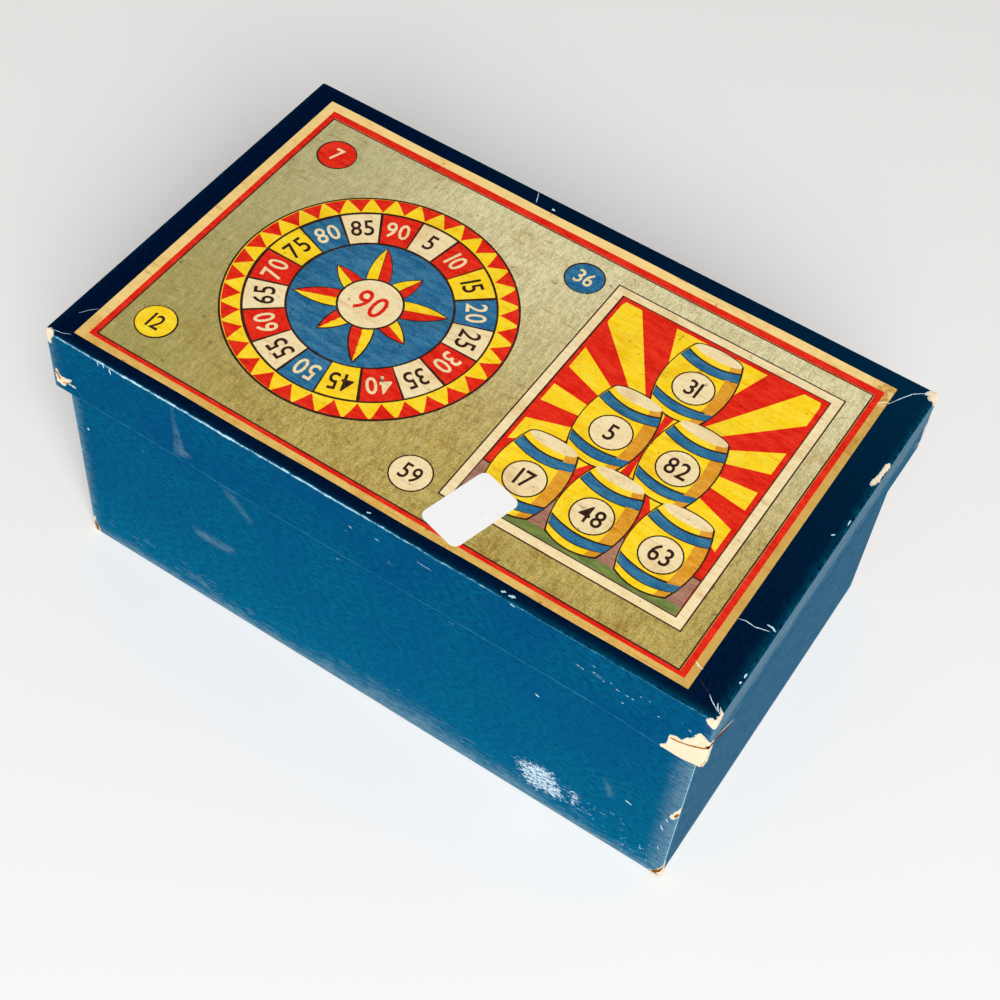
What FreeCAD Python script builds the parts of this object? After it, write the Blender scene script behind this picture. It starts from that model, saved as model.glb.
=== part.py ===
"""A boxed number game: a paper-covered tray with a lift-off lid, and the game inside it.

The box is built round its contents, as a box maker does it. A pack of cards lies on the tray's
floor, a divided insert stands on the cards and holds the turned number kegs, the cover counters
and a folded draw bag, and the lid closes over all of it.

Units are millimetres. +X runs along the box's length, -Y is the long side at the front, +Z is up.
The origin is the middle of the underside.
"""

import FreeCAD
import Part

import math
import os

# Number kegs, turned barrels that stand in layers
KEG_DIAMETER = 20.0
KEG_END_DIAMETER = 16.4
KEG_HEIGHT = 28.0
KEG_GAP = 0.6
KEG_COLUMNS = 9
KEG_ROWS = 5
KEG_LAYERS = 2
KEG_HEADROOM = 4.2
KEGS_PER_NODE = 10

# Cover counters, square card tiles in stacks
COUNTER_SIDE = 18.0
COUNTER_THICKNESS = 2.0
COUNTER_GAP = 1.0
COUNTER_COLUMNS = 2
COUNTER_STACK = 12
COUNTER_COLOURS = ("red", "yellow", "blue")

# Draw bag, folded flat and stood on edge
BAG_THICKNESS = 24.4
BAG_HEIGHT = 52.0
BAG_SIDE_GAP = 1.0
BAG_END_GAP = 8.0
BAG_ROUNDING = 9.0
BAG_REST_GAP = 0.3

# Playing cards
CARD_COUNT = 24
CARD_THICKNESS = 1.7
CARD_CORNER = 3.0
CARD_FIT = 3.0
CARD_STRAY = 0.8
CARD_STRAY_STEP_X = 2.3
CARD_STRAY_STEP_Y = 1.7

# Sheet materials
BOARD = 1.8
PAPER = 0.3
BASE_PAPER = 0.3
INSERT_CARD = 1.0
DIVIDER_CARD = 1.0
LABEL_PAPER = 0.2
STICKER_PAPER = 0.1

# Folds, fits and turned-in paper
FOLD_RADIUS = 0.7
INSERT_FOLD_RADIUS = 0.6
CORNER_SLIT = 0.2
INSERT_FIT = 0.6
INSERT_DROP = 0.5
DIVIDER_DROP = 3.0
DIVIDER_SLOT_GAP = 0.2
LID_FIT = 0.6
LID_SEAT = 0.3
LID_DEPTH = 27.0
TURN_IN = 12.0
TURN_UNDER = 15.0
BASE_MARGIN = 4.0
STAY_LEG = 14.0
STAY_MARGIN = 1.0

# Label on the lid, by the bare margin that it leaves on each side
LABEL_MARGIN_LEFT = 8.6
LABEL_MARGIN_RIGHT = 11.8
LABEL_MARGIN_FRONT = 4.2
LABEL_MARGIN_BACK = 6.6
LABEL_CORNER = 0.6

# Plain stock sticker on the label, its centre measured from the label's right front corner
STICKER_LENGTH = 26.0
STICKER_WIDTH = 16.0
STICKER_CORNER = 2.6
STICKER_FROM_RIGHT = 82.8
STICKER_FROM_FRONT = 15.7
STICKER_TURN = 74.5

# Bays of the insert
keg_pitch = KEG_DIAMETER + KEG_GAP
counter_pitch = COUNTER_SIDE + COUNTER_GAP
keg_bay_length = KEG_COLUMNS * keg_pitch + KEG_GAP
keg_bay_width = KEG_ROWS * keg_pitch + KEG_GAP
counter_bay_length = COUNTER_COLUMNS * counter_pitch + COUNTER_GAP
bag_bay_width = BAG_THICKNESS + 2 * BAG_SIDE_GAP

# Insert
insert_inner_length = keg_bay_length + DIVIDER_CARD + counter_bay_length
insert_inner_width = keg_bay_width + DIVIDER_CARD + bag_bay_width
insert_length = insert_inner_length + 2 * INSERT_CARD
insert_width = insert_inner_width + 2 * INSERT_CARD
insert_inner_height = KEG_LAYERS * KEG_HEIGHT + KEG_HEADROOM
insert_height = INSERT_CARD + insert_inner_height

# Tray, from the inside out
tray_inner_length = insert_length + 2 * (INSERT_FIT + PAPER)
tray_inner_width = insert_width + 2 * (INSERT_FIT + PAPER)
tray_length = tray_inner_length + 2 * (BOARD + PAPER)
tray_width = tray_inner_width + 2 * (BOARD + PAPER)
floor_top = BASE_PAPER + PAPER + BOARD
card_pack_top = floor_top + CARD_COUNT * CARD_THICKNESS
insert_floor_top = card_pack_top + INSERT_CARD
insert_top = card_pack_top + insert_height
tray_height = insert_top + INSERT_DROP

# Lid, from the inside out
lid_inner_length = tray_length + 2 * (LID_FIT + PAPER)
lid_inner_width = tray_width + 2 * (LID_FIT + PAPER)
lid_length = lid_inner_length + 2 * (BOARD + PAPER)
lid_width = lid_inner_width + 2 * (BOARD + PAPER)
lid_underside = tray_height + LID_SEAT
box_height = lid_underside + BOARD + PAPER
lid_bottom = box_height - LID_DEPTH

# Bay edges, with the keg bay at the front left corner
inner_left = -insert_inner_length / 2
inner_front = -insert_inner_width / 2
cross_divider_x = inner_left + keg_bay_length + DIVIDER_CARD / 2
long_divider_y = inner_front + keg_bay_width + DIVIDER_CARD / 2
counter_bay_left = cross_divider_x + DIVIDER_CARD / 2
bag_bay_front = long_divider_y + DIVIDER_CARD / 2

# Room that a cutting tool takes past a face, and the least length that counts as one
PAST = 1.0
HAIR = 0.001

# The most of a sheet's thickness, or of a pad's, that a rounded edge may take
SHEET_ROUNDING_SHARE = 0.9
PAD_ROUNDING_SHARE = 0.45


def block(length, width, z_low, z_high, x=0.0, y=0.0):
    """A box centred on x and y."""
    corner = FreeCAD.Vector(x - length / 2, y - width / 2, z_low)
    return Part.makeBox(length, width, z_high - z_low, corner)


def upright_edges(shape):
    """The edges that run straight up."""
    return [edge for edge in shape.Edges if edge.BoundBox.ZLength > edge.Length - HAIR]


def rounded_block(length, width, z_low, z_high, radius, x=0.0, y=0.0):
    """A box with its four upright edges rounded."""
    shape = block(length, width, z_low, z_high, x, y)
    return shape.makeFillet(radius, upright_edges(shape))


def folded_envelope(length, width, z_low, z_high, radius):
    """The outside of a folded tray: a box rounded at its upright edges and round its bottom."""
    shape = block(length, width, z_low, z_high)
    bottom = [edge for edge in shape.Edges if edge.BoundBox.ZMax < z_low + HAIR]
    return shape.makeFillet(radius, upright_edges(shape) + bottom)


def folded_blank(length, width, height, sheet, radius):
    """A sheet with its four sides folded up. The long sides run to the corners, and a slit parts
    each end from them, as the cut corners of a blank do. The panel's outer face is at zero."""
    shape = folded_envelope(length, width, 0, height, min(radius, SHEET_ROUNDING_SHARE * sheet))
    inner_length = length - 2 * sheet
    inner_width = width - 2 * sheet
    shape = shape.cut(block(inner_length, inner_width, sheet, height + PAST))
    for side_x in (-1, 1):
        for side_y in (-1, 1):
            slit_x = side_x * (inner_length + sheet) / 2
            slit_y = side_y * (inner_width - CORNER_SLIT) / 2
            slit = block(sheet + PAST, CORNER_SLIT, sheet, height + PAST, slit_x, slit_y)
            shape = shape.cut(slit)
    return shape


def covering_paper(length, width, height, window=None):
    """Paper glued round a folded board tray, over its rim and down inside it by TURN_IN.
    The paper's outer face is at zero, and window is the bare middle of the panel, if it has one."""
    radius = min(FOLD_RADIUS, SHEET_ROUNDING_SHARE * BOARD)
    outside = folded_envelope(length, width, 0, height, radius + PAPER)
    board = folded_envelope(length - 2 * PAPER, width - 2 * PAPER, PAPER, height - PAPER, radius)
    board_inner = (length - 2 * (PAPER + BOARD), width - 2 * (PAPER + BOARD))
    mouth = (board_inner[0] - 2 * PAPER, board_inner[1] - 2 * PAPER)
    paper = outside.cut(board).cut(block(*mouth, height - 2 * PAPER, height + PAST))
    turned_in = block(*board_inner, height - TURN_IN, height - PAPER)
    turned_in = turned_in.cut(block(*mouth, height - TURN_IN - PAST, height))
    paper = paper.fuse(turned_in).removeSplitter()
    if window:
        paper = paper.cut(block(*window, -PAST, 2 * PAPER))
    return paper


def corner_stays(inner_length, inner_width, z_low, z_high):
    """Gummed paper angles that join the folded sides, one inside each corner."""
    stays = []
    for side_x in (-1, 1):
        for side_y in (-1, 1):
            leg_x = side_x * (inner_length - STAY_LEG) / 2
            leg_y = side_y * (inner_width - STAY_LEG) / 2
            wall_x = side_x * (inner_length - PAPER) / 2
            wall_y = side_y * (inner_width - PAPER) / 2
            along = block(STAY_LEG, PAPER, z_low, z_high, leg_x, wall_y)
            across = block(PAPER, STAY_LEG, z_low, z_high, wall_x, leg_y)
            stays.append(along.fuse(across).removeSplitter())
    return stays


def turned_over(shape, z_top):
    """A folded tray turned upside down, with its panel's outer face brought to z_top."""
    turned = shape.copy()
    turned.rotate(FreeCAD.Vector(0, 0, 0), FreeCAD.Vector(1, 0, 0), 180)
    turned.translate(FreeCAD.Vector(0, 0, z_top))
    return turned


def raised(shape, z):
    """The same shape, moved up by z."""
    moved = shape.copy()
    moved.translate(FreeCAD.Vector(0, 0, z))
    return moved


# Tray
def tray_parts():
    """The board tray, its corner stays, its covering paper and the sheet under its floor."""
    board_length = tray_length - 2 * PAPER
    board_width = tray_width - 2 * PAPER
    cover_height = tray_height - BASE_PAPER
    board = folded_blank(board_length, board_width, cover_height - 2 * PAPER, BOARD, FOLD_RADIUS)
    window = (tray_length - 2 * TURN_UNDER, tray_width - 2 * TURN_UNDER)
    cover = covering_paper(tray_length, tray_width, cover_height, window)
    base = (tray_length - 2 * BASE_MARGIN, tray_width - 2 * BASE_MARGIN)
    stay_top = tray_height - TURN_IN - STAY_MARGIN
    return {
        "tray_board": [raised(board, BASE_PAPER + PAPER)],
        "tray_corner_stays": corner_stays(tray_inner_length, tray_inner_width, floor_top, stay_top),
        "tray_covering_paper": [raised(cover, BASE_PAPER)],
        "tray_base_sheet": [block(*base, 0, BASE_PAPER)],
    }


# Lid
def lid_parts():
    """The board lid, its corner stays, its covering paper, the label and the sticker on the label."""
    board_length = lid_length - 2 * PAPER
    board_width = lid_width - 2 * PAPER
    board = folded_blank(board_length, board_width, LID_DEPTH - 2 * PAPER, BOARD, FOLD_RADIUS)
    stay_bottom = lid_bottom + TURN_IN + STAY_MARGIN
    label_left = -lid_length / 2 + LABEL_MARGIN_LEFT
    label_right = lid_length / 2 - LABEL_MARGIN_RIGHT
    label_front = -lid_width / 2 + LABEL_MARGIN_FRONT
    label_back = lid_width / 2 - LABEL_MARGIN_BACK
    label_top = box_height + LABEL_PAPER
    label = rounded_block(
        label_right - label_left,
        label_back - label_front,
        box_height,
        label_top,
        LABEL_CORNER,
        (label_left + label_right) / 2,
        (label_front + label_back) / 2,
    )
    sticker_top = label_top + STICKER_PAPER
    sticker = rounded_block(STICKER_LENGTH, STICKER_WIDTH, label_top, sticker_top, STICKER_CORNER)
    sticker.rotate(FreeCAD.Vector(0, 0, 0), FreeCAD.Vector(0, 0, 1), STICKER_TURN)
    sticker.translate(FreeCAD.Vector(label_right - STICKER_FROM_RIGHT, label_front + STICKER_FROM_FRONT, 0))
    return {
        "lid_board": [turned_over(board, box_height - PAPER)],
        "lid_corner_stays": corner_stays(lid_inner_length, lid_inner_width, stay_bottom, lid_underside),
        "lid_covering_paper": [turned_over(covering_paper(lid_length, lid_width, LID_DEPTH), box_height)],
        "lid_label": [label],
        "stock_sticker": [sticker],
    }


# Playing cards
def card_parts():
    """The pack, one node to a card. Each card strays a little, as a hand-stacked pack does."""
    length = tray_inner_length - 2 * CARD_FIT
    width = tray_inner_width - 2 * CARD_FIT
    cards = {}
    for index in range(CARD_COUNT):
        z_low = floor_top + index * CARD_THICKNESS
        x = CARD_STRAY * math.sin(CARD_STRAY_STEP_X * index)
        y = CARD_STRAY * math.cos(CARD_STRAY_STEP_Y * index)
        card = rounded_block(length, width, z_low, z_low + CARD_THICKNESS, CARD_CORNER, x, y)
        cards[f"card_{index + 1:02d}"] = [card]
    return cards


# Insert
def divider(length, x, y, turned, slot_along, slot_from_top):
    """A card divider with a half-height slot, where the divider that crosses it sits."""
    z_low = insert_floor_top
    z_high = insert_top - DIVIDER_DROP
    z_middle = (z_low + z_high) / 2
    slot_low, slot_high = (z_middle, z_high + PAST) if slot_from_top else (z_low - PAST, z_middle)
    slot_width = DIVIDER_CARD + DIVIDER_SLOT_GAP
    if turned:
        sheet = block(DIVIDER_CARD, length, z_low, z_high, x, y)
        slot = block(DIVIDER_CARD + PAST, slot_width, slot_low, slot_high, x, slot_along)
    else:
        sheet = block(length, DIVIDER_CARD, z_low, z_high, x, y)
        slot = block(slot_width, DIVIDER_CARD + PAST, slot_low, slot_high, slot_along, y)
    return sheet.cut(slot)


def insert_parts():
    """The folded card insert and the two dividers that cross in it."""
    insert = folded_blank(insert_length, insert_width, insert_height, INSERT_CARD, INSERT_FOLD_RADIUS)
    return {
        "insert_tray": [raised(insert, card_pack_top)],
        "long_divider": [divider(insert_inner_length, 0, long_divider_y, False, cross_divider_x, True)],
        "cross_divider": [divider(insert_inner_width, cross_divider_x, 0, True, long_divider_y, False)],
    }


# Number kegs
def keg(x, y, z):
    """A turned barrel: two flat ends and a bellied side, spun from half its outline."""
    end = KEG_END_DIAMETER / 2
    low_centre = FreeCAD.Vector(0, 0, 0)
    low_edge = FreeCAD.Vector(end, 0, 0)
    belly = FreeCAD.Vector(KEG_DIAMETER / 2, 0, KEG_HEIGHT / 2)
    high_edge = FreeCAD.Vector(end, 0, KEG_HEIGHT)
    high_centre = FreeCAD.Vector(0, 0, KEG_HEIGHT)
    outline = Part.Wire(
        [
            Part.LineSegment(low_centre, low_edge).toShape(),
            Part.Arc(low_edge, belly, high_edge).toShape(),
            Part.LineSegment(high_edge, high_centre).toShape(),
            Part.LineSegment(high_centre, low_centre).toShape(),
        ]
    )
    barrel = Part.Face(outline).revolve(FreeCAD.Vector(0, 0, 0), FreeCAD.Vector(0, 0, 1), 360)
    barrel.translate(FreeCAD.Vector(x, y, z))
    return barrel


def keg_parts():
    """The kegs in number order, row by row and layer by layer, a group of numbers to a node."""
    kegs = []
    for layer in range(KEG_LAYERS):
        for row in range(KEG_ROWS):
            for column in range(KEG_COLUMNS):
                x = inner_left + KEG_GAP + KEG_DIAMETER / 2 + column * keg_pitch
                y = inner_front + keg_bay_width - KEG_GAP - KEG_DIAMETER / 2 - row * keg_pitch
                kegs.append(keg(x, y, insert_floor_top + layer * KEG_HEIGHT))
    groups = {}
    for first in range(0, len(kegs), KEGS_PER_NODE):
        group = kegs[first : first + KEGS_PER_NODE]
        groups[f"kegs_{first + 1:02d}_to_{first + len(group):02d}"] = group
    return groups


# Cover counters
def counter_parts():
    """Square tiles in stacks of one colour, in the two bays beside the kegs and the bag."""
    places = []
    for front, width in ((inner_front, keg_bay_width), (bag_bay_front, bag_bay_width)):
        rows = int((width - COUNTER_GAP) / counter_pitch)
        first_y = front + (width - (rows - 1) * counter_pitch) / 2
        for row in range(rows):
            for column in range(COUNTER_COLUMNS):
                x = counter_bay_left + COUNTER_GAP + COUNTER_SIDE / 2 + column * counter_pitch
                places.append((x, first_y + row * counter_pitch))
    groups = {f"counters_{colour}": [] for colour in COUNTER_COLOURS}
    for index, (x, y) in enumerate(places):
        colour = COUNTER_COLOURS[index % len(COUNTER_COLOURS)]
        for level in range(COUNTER_STACK):
            z_low = insert_floor_top + level * COUNTER_THICKNESS
            tile = block(COUNTER_SIDE, COUNTER_SIDE, z_low, z_low + COUNTER_THICKNESS, x, y)
            groups[f"counters_{colour}"].append(tile)
    return groups


# Draw bag
def bag_parts():
    """The linen bag that the kegs are drawn from, folded into a soft pad."""
    length = keg_bay_length - 2 * BAG_END_GAP
    x = inner_left + keg_bay_length / 2
    y = bag_bay_front + bag_bay_width / 2
    z_low = insert_floor_top + BAG_REST_GAP
    pad = block(length, BAG_THICKNESS, z_low, z_low + BAG_HEIGHT, x, y)
    lengthwise = [edge for edge in pad.Edges if edge.BoundBox.XLength > edge.Length - HAIR]
    rounding = min(BAG_ROUNDING, PAD_ROUNDING_SHARE * BAG_THICKNESS)
    return {"draw_bag": [pad.makeFillet(rounding, lengthwise)]}


def main():
    """Writes one STEP file for each node."""
    os.makedirs("parts", exist_ok=True)
    nodes = {}
    for group in (tray_parts, lid_parts, card_parts, insert_parts, keg_parts, counter_parts, bag_parts):
        nodes.update(group())
    for name, solids in nodes.items():
        shape = solids[0] if len(solids) == 1 else Part.makeCompound(solids)
        shape.exportStep(f"parts/{name}.step")
    print(f"{len(nodes)} nodes, box {lid_length:.1f} x {lid_width:.1f} x {box_height:.1f} mm")


main()
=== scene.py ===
import math

import bpy
import numpy as np
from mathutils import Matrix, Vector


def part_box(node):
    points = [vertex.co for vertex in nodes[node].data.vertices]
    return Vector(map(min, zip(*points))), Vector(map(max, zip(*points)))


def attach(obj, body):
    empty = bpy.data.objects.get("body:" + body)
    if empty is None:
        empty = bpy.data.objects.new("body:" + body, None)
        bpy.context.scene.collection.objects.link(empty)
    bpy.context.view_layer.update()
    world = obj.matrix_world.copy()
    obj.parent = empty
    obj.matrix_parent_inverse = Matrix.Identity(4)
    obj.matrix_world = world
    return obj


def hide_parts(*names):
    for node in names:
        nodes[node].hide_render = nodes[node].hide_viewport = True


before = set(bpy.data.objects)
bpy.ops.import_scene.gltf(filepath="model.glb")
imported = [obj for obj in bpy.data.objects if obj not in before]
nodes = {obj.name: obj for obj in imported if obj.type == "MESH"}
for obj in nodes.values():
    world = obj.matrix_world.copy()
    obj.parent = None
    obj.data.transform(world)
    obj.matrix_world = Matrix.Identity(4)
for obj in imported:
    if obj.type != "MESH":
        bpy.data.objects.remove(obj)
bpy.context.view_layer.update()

# Tray board: the floor and four walls of the box in one blank of raw strawboard, scored and folded up.
# Straw pulp leaves it tan and matt, with pale and dark fibres lying every way.
MM = 0.001


def screen(colour):
    """A colour as it looks on a screen, 0 to 255, turned into the linear light that a shader takes."""
    share = np.array(colour) / 255.0
    light = np.where(share <= 0.04045, share / 12.92, ((share + 0.055) / 1.055) ** 2.4)
    return (*light.tolist(), 1.0)


class Value:
    """A number or a colour at each point of a surface. Sums on values become shader nodes."""

    def __init__(self, finish, socket):
        self.finish = finish
        self.socket = socket

    def reckon(self, operation, other=0.0):
        """One sum on this value and another."""
        return self.finish.add("Math", {0: self, 1: other}, "Value", operation=operation)

    def __add__(self, other):
        return self.reckon("ADD", other)

    def __sub__(self, other):
        return self.reckon("SUBTRACT", other)

    def __mul__(self, other):
        return self.reckon("MULTIPLY", other)

    def step(self, low, high):
        """Runs smoothly from 0 at low to 1 at high."""
        sockets = {"Value": self, "From Min": low, "From Max": high}
        return self.finish.add("MapRange", sockets, "Result", interpolation_type="SMOOTHSTEP")

    def mix(self, first, second, way="MIX"):
        """The first colour, going over to the second by this share. A plain tuple is a screen colour."""
        first, second = [tint if isinstance(tint, Value) else screen(tint) for tint in (first, second)]
        return self.finish.add("Mix", {0: self, 6: first, 7: second}, 2, data_type="RGBA", blend_type=way)


class Finish:
    """A material with one shader of even gloss, and the nodes that work out its colour and bump."""

    def __init__(self, name, roughness, specular):
        self.material = bpy.data.materials.new(name)
        self.material.use_nodes = True
        self.tree = self.material.node_tree
        self.shader = self.tree.nodes["Principled BSDF"]
        self.feed(self.shader, {"Roughness": roughness, "Specular IOR Level": specular})
        self.place = self.add("TexCoord", {}, "Object")

    def feed(self, node, sockets):
        """Fills a node's sockets with numbers or links."""
        for key, value in sockets.items():
            if isinstance(value, Value):
                self.tree.links.new(value.socket, node.inputs[key])
            else:
                node.inputs[key].default_value = value

    def add(self, kind, sockets, output, **settings):
        """Adds a shader node with its properties and sockets, and returns one of its outputs."""
        node = self.tree.nodes.new("ShaderNode" + kind)
        for name, value in settings.items():
            setattr(node, name, value)
        self.feed(node, sockets)
        return Value(self, node.outputs[output])

    def grain(self, size, detail=3.0, roughness=0.55, stretch=None, turn=0.0, place=None):
        """Soft random mottling from 0 to 1, with features of about the given size in metres. A stretch
        scales the axes, after a turn about Z in degrees, so that the grain can run one way."""
        place = place or self.place
        if stretch:
            sockets = {"Vector": place, "Scale": stretch, "Rotation": (0.0, 0.0, math.radians(turn))}
            place = self.add("Mapping", sockets, "Vector")
        sockets = {"Vector": place, "Scale": 1.0 / size, "Detail": detail, "Roughness": roughness}
        return self.add("TexNoise", sockets, "Fac")

    def stored(self, name):
        """A number that the mesh stores under that name."""
        return self.add("Attribute", {}, "Fac", attribute_name=name)

    def done(self, colour, height, depth):
        """Joins the colour, and a bump of the given depth in metres, to the shader."""
        bump = self.add("Bump", {"Height": height, "Distance": depth}, "Normal")
        self.feed(self.shader, {"Base Color": colour, "Normal": bump})
        return self.material


def fibre_finish(name, pale, dark, fleck, roughness=0.85):
    """Matt pulp board: two tones in soft clouds, fibres a few millimetres long, and small dark flecks."""
    pulp = Finish(name, roughness, 0.25)
    along = pulp.grain(0.7 * MM, stretch=(0.2, 1, 1), turn=24)
    across = pulp.grain(0.6 * MM, stretch=(1, 0.2, 0.6), turn=10)
    fibre = along.reckon("MAXIMUM", across)
    tone = pulp.grain(14 * MM) * 0.45 + fibre * 0.8
    colour = tone.step(0.48, 0.9).mix(dark, pale)
    speck = pulp.grain(1.3 * MM, 2.0).step(0.66, 0.74)
    return pulp.done((speck * 0.55).mix(colour, fleck), fibre, 0.12 * MM)


def cover(node, material):
    """Gives a node of the frame its finish."""
    nodes[node].data.materials.clear()
    nodes[node].data.materials.append(material)


strawboard = fibre_finish("strawboard", (206, 170, 112), (160, 121, 69), (96, 66, 34))
cover("tray_board", strawboard)

# Tray corner stays: angles of brown gummed paper that hold the folded walls together,
# one pressed into each inside corner.
gummed_paper = fibre_finish("gummed_paper", (178, 136, 84), (146, 106, 60), (104, 70, 38))
cover("tray_corner_stays", gummed_paper)

# Tray covering paper: blue paper with a fine pressed grain, glued round the walls, over the rim and
# down inside it, and turned under the floor. It is rubbed pale along the edges and torn at the corners.
PAPER = 0.3 * MM
BOARD = 1.8 * MM
WALL = PAPER + BOARD + PAPER
TURN_IN = 12 * MM
TURN_UNDER = 15 * MM
FOLD_RADIUS = 1.0 * MM
RIM_RADIUS = 0.6 * MM
LEAST_RADIUS = 0.05 * MM
FLECK_ROOM = 0.02 * MM
FLECK_STAGGER = 0.8 * FLECK_ROOM
RIBBON_STEP = 0.25
RIBBON_FRAY = (0.4, 1.3)
TRAY_STEP = 1.05 * MM
TRAY_BORDER = 3 * MM
TRAY_RISE = 104.0
HAZE_LIMIT = 0.68


def lengths(across, up):
    """The length from the start of a line to each of its points, straight from point to point."""
    return np.append(0, np.cumsum(np.hypot(np.diff(across), np.diff(up))))


def paper_section(panel, rim, reach, border, step):
    """Section through a covering paper, as insets from the wall's face and heights: along the panel, in
    small steps within the border, round the fold on a quarter circle, down or up the wall, round the rim
    on two small quarter circles, back inside by TURN_IN, and onto the board. The third array is the
    length from the fold."""
    turn = np.linspace(0, math.pi / 2, 7)[1:]
    lip = np.append(0, turn)
    drop = abs(rim - panel)
    near = np.linspace(border, FOLD_RADIUS, int((border - FOLD_RADIUS) / step) + 2)
    flat = np.append(np.linspace(reach, border, 5)[:-1], near)
    wall_height = drop - FOLD_RADIUS - RIM_RADIUS
    wall = np.linspace(0, wall_height, int(wall_height / step))[1:]
    inner = np.linspace(RIM_RADIUS, TURN_IN, 4)[1:]
    inset, height = np.concatenate([
        (flat, 0 * flat),
        (FOLD_RADIUS * (1 - np.sin(turn)), FOLD_RADIUS * (1 - np.cos(turn))),
        (0 * wall, FOLD_RADIUS + wall),
        (RIM_RADIUS * (1 - np.cos(turn)), drop - RIM_RADIUS * (1 - np.sin(turn))),
        (WALL - RIM_RADIUS * (1 - np.sin(lip)), drop - RIM_RADIUS * (1 - np.cos(lip))),
        (0 * inner + WALL, drop - inner),
        ([WALL - PAPER], [drop - TURN_IN]),
    ], 1)
    length = lengths(inset, height)
    fold = len(flat) + len(turn) // 2
    return inset, panel + math.copysign(1.0, rim - panel) * height, length - length[fold]


def outline_stations(half, radius, step, corner_points=9):
    """Stations round a rectangle with rounded corners, anticlockwise from the left front corner, closer
    towards the corners by the mean of u and the sine of u right angles. A station has a pull u, from -1
    to 1 on each axis, and an outward direction n, so that the ring of half size h and corner radius r is
    u * (h - r) + n * r. The last array is the length along the path."""
    outward = np.array(((0, -1), (1, 0), (0, 1), (-1, 0)))
    onward = np.roll(outward, -1, 0)
    turn = np.linspace(0, math.pi / 2, corner_points + 2)[1:-1, None]
    pulls = []
    directions = []
    for side in range(4):
        u = np.linspace(-1, 1, int(2 * (half[side % 2] - radius) / step))[:, None]
        run = (u + np.sin(u * math.pi / 2)) / 2
        pulls += [outward[side] + onward[side] * run]
        pulls += [np.tile(outward[side] + onward[side], (corner_points, 1))]
        directions += [np.tile(outward[side], (len(run), 1))]
        directions += [outward[side] * np.cos(turn) + onward[side] * np.sin(turn)]
    pull = np.concatenate(pulls)
    direction = np.concatenate(directions)
    ring = pull * (np.array(half) - radius) + direction * radius
    return pull, direction, lengths(*np.append(ring, ring[:1], 0).T)


def ring_points(pull, direction, half, radius, inset):
    """The path taken in by each inset: half sizes shrink by it, and so does the corner radius, to its
    least, until the long sides meet in a line. Rows are insets, columns are stations."""
    corner = np.minimum(np.maximum(radius - inset, LEAST_RADIUS), half[1] - inset)[:, None]
    inset = inset[:, None]
    return [pull[:, i] * (half[i] - inset - corner) + direction[:, i] * corner for i in (0, 1)]


def wrapped(half, station_step, inset, height, depth):
    """A covering paper as a grid: rows follow its section, columns the stations of the outline. Returns
    x, y and z, the outward directions, the lengths along the path, and in millimetres for each grid point
    its way along the section and the signed ways round from the four corners, right front first."""
    pull, direction, path = outline_stations(half, FOLD_RADIUS, station_step)
    x, y = ring_points(pull, direction, half, FOLD_RADIUS, inset)
    z = np.repeat(height[:, None], x.shape[1], 1)
    whole = path[-1]
    corners = np.cumsum(half + half) * whole / sum(half + half)
    from_corners = (path[:-1] - corners[:, None] + whole / 2) % whole - whole / 2
    along_section = np.broadcast_to(depth[:, None] / MM, x.shape)
    return x, y, z, direction, path, along_section, np.broadcast_to(from_corners[:, None] / MM, (4, *x.shape))


def grid_faces(rows, columns, closed):
    """Quads of a grid of points held row by row. A closed grid joins its last column to its first."""
    across = np.arange(columns if closed else columns - 1)
    near, left = np.meshgrid(np.arange(rows - 1) * columns, across, indexing="ij")
    right = (left + 1) % columns
    far = near + columns
    return np.stack([near + left, near + right, far + right, far + left], -1).reshape(-1, 4)


def new_piece(name, points, faces, material, body):
    """A smooth mesh at the origin that rides on a body."""
    mesh = bpy.data.meshes.new(name)
    mesh.from_pydata(points.tolist(), [], faces if isinstance(faces, list) else faces.tolist())
    mesh.shade_smooth()
    mesh.materials.append(material)
    piece = bpy.data.objects.new(name, mesh)
    bpy.context.scene.collection.objects.link(piece)
    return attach(piece, body)


def grid_piece(name, x, y, z, closed, material, body, way=1):
    """A piece whose surface is a grid of points. A way of -1 turns its faces over."""
    points = np.stack([x, y, z], -1).reshape(-1, 3)
    return new_piece(name, points, grid_faces(*x.shape, closed)[:, ::way], material, body)


def stand_for(node):
    """Hides the node that a piece stands in for."""
    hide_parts(node)


def joined(parts):
    """Meshes as one: the faces of each count on from the points of those before it."""
    starts = np.cumsum([0] + [len(points) for points, _ in parts])
    faces = [face for start, part in zip(starts, parts) for face in (part[1] + start).tolist()]
    return np.concatenate([points for points, _ in parts]), faces


def store(piece, **values):
    """Keeps numbers on the mesh's points, under their names."""
    for name, numbers in values.items():
        numbers = np.ascontiguousarray(numbers, np.float32).ravel()
        piece.data.attributes.new(name, "FLOAT", "POINT").data.foreach_set("value", numbers)


def wrap_uv(piece, length, depth):
    """A UV map in metres: along the path, and along the section."""
    left = np.tile(length[:-1], len(depth) - 1)
    right = np.tile(length[1:], len(depth) - 1)
    low = np.repeat(depth[:-1], len(length) - 1)
    high = np.repeat(depth[1:], len(length) - 1)
    corners = np.stack([left, low, right, low, right, high, left, high], 1)
    piece.data.uv_layers.new(name="wrap").data.foreach_set("uv", corners.ravel())


def off_line(along, down, line):
    """The distance of each point from a line of straight runs."""
    nearest = np.full(along.shape, np.inf)
    for (x0, y0), (x1, y1) in zip(line, line[1:]):
        run_x = x1 - x0
        run_y = y1 - y0
        share = ((along - x0) * run_x + (down - y0) * run_y) / (run_x ** 2 + run_y ** 2)
        share = np.clip(share, 0, 1)
        nearest = np.minimum(nearest, np.hypot(along - x0 - share * run_x, down - y0 - share * run_y))
    return nearest


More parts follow.
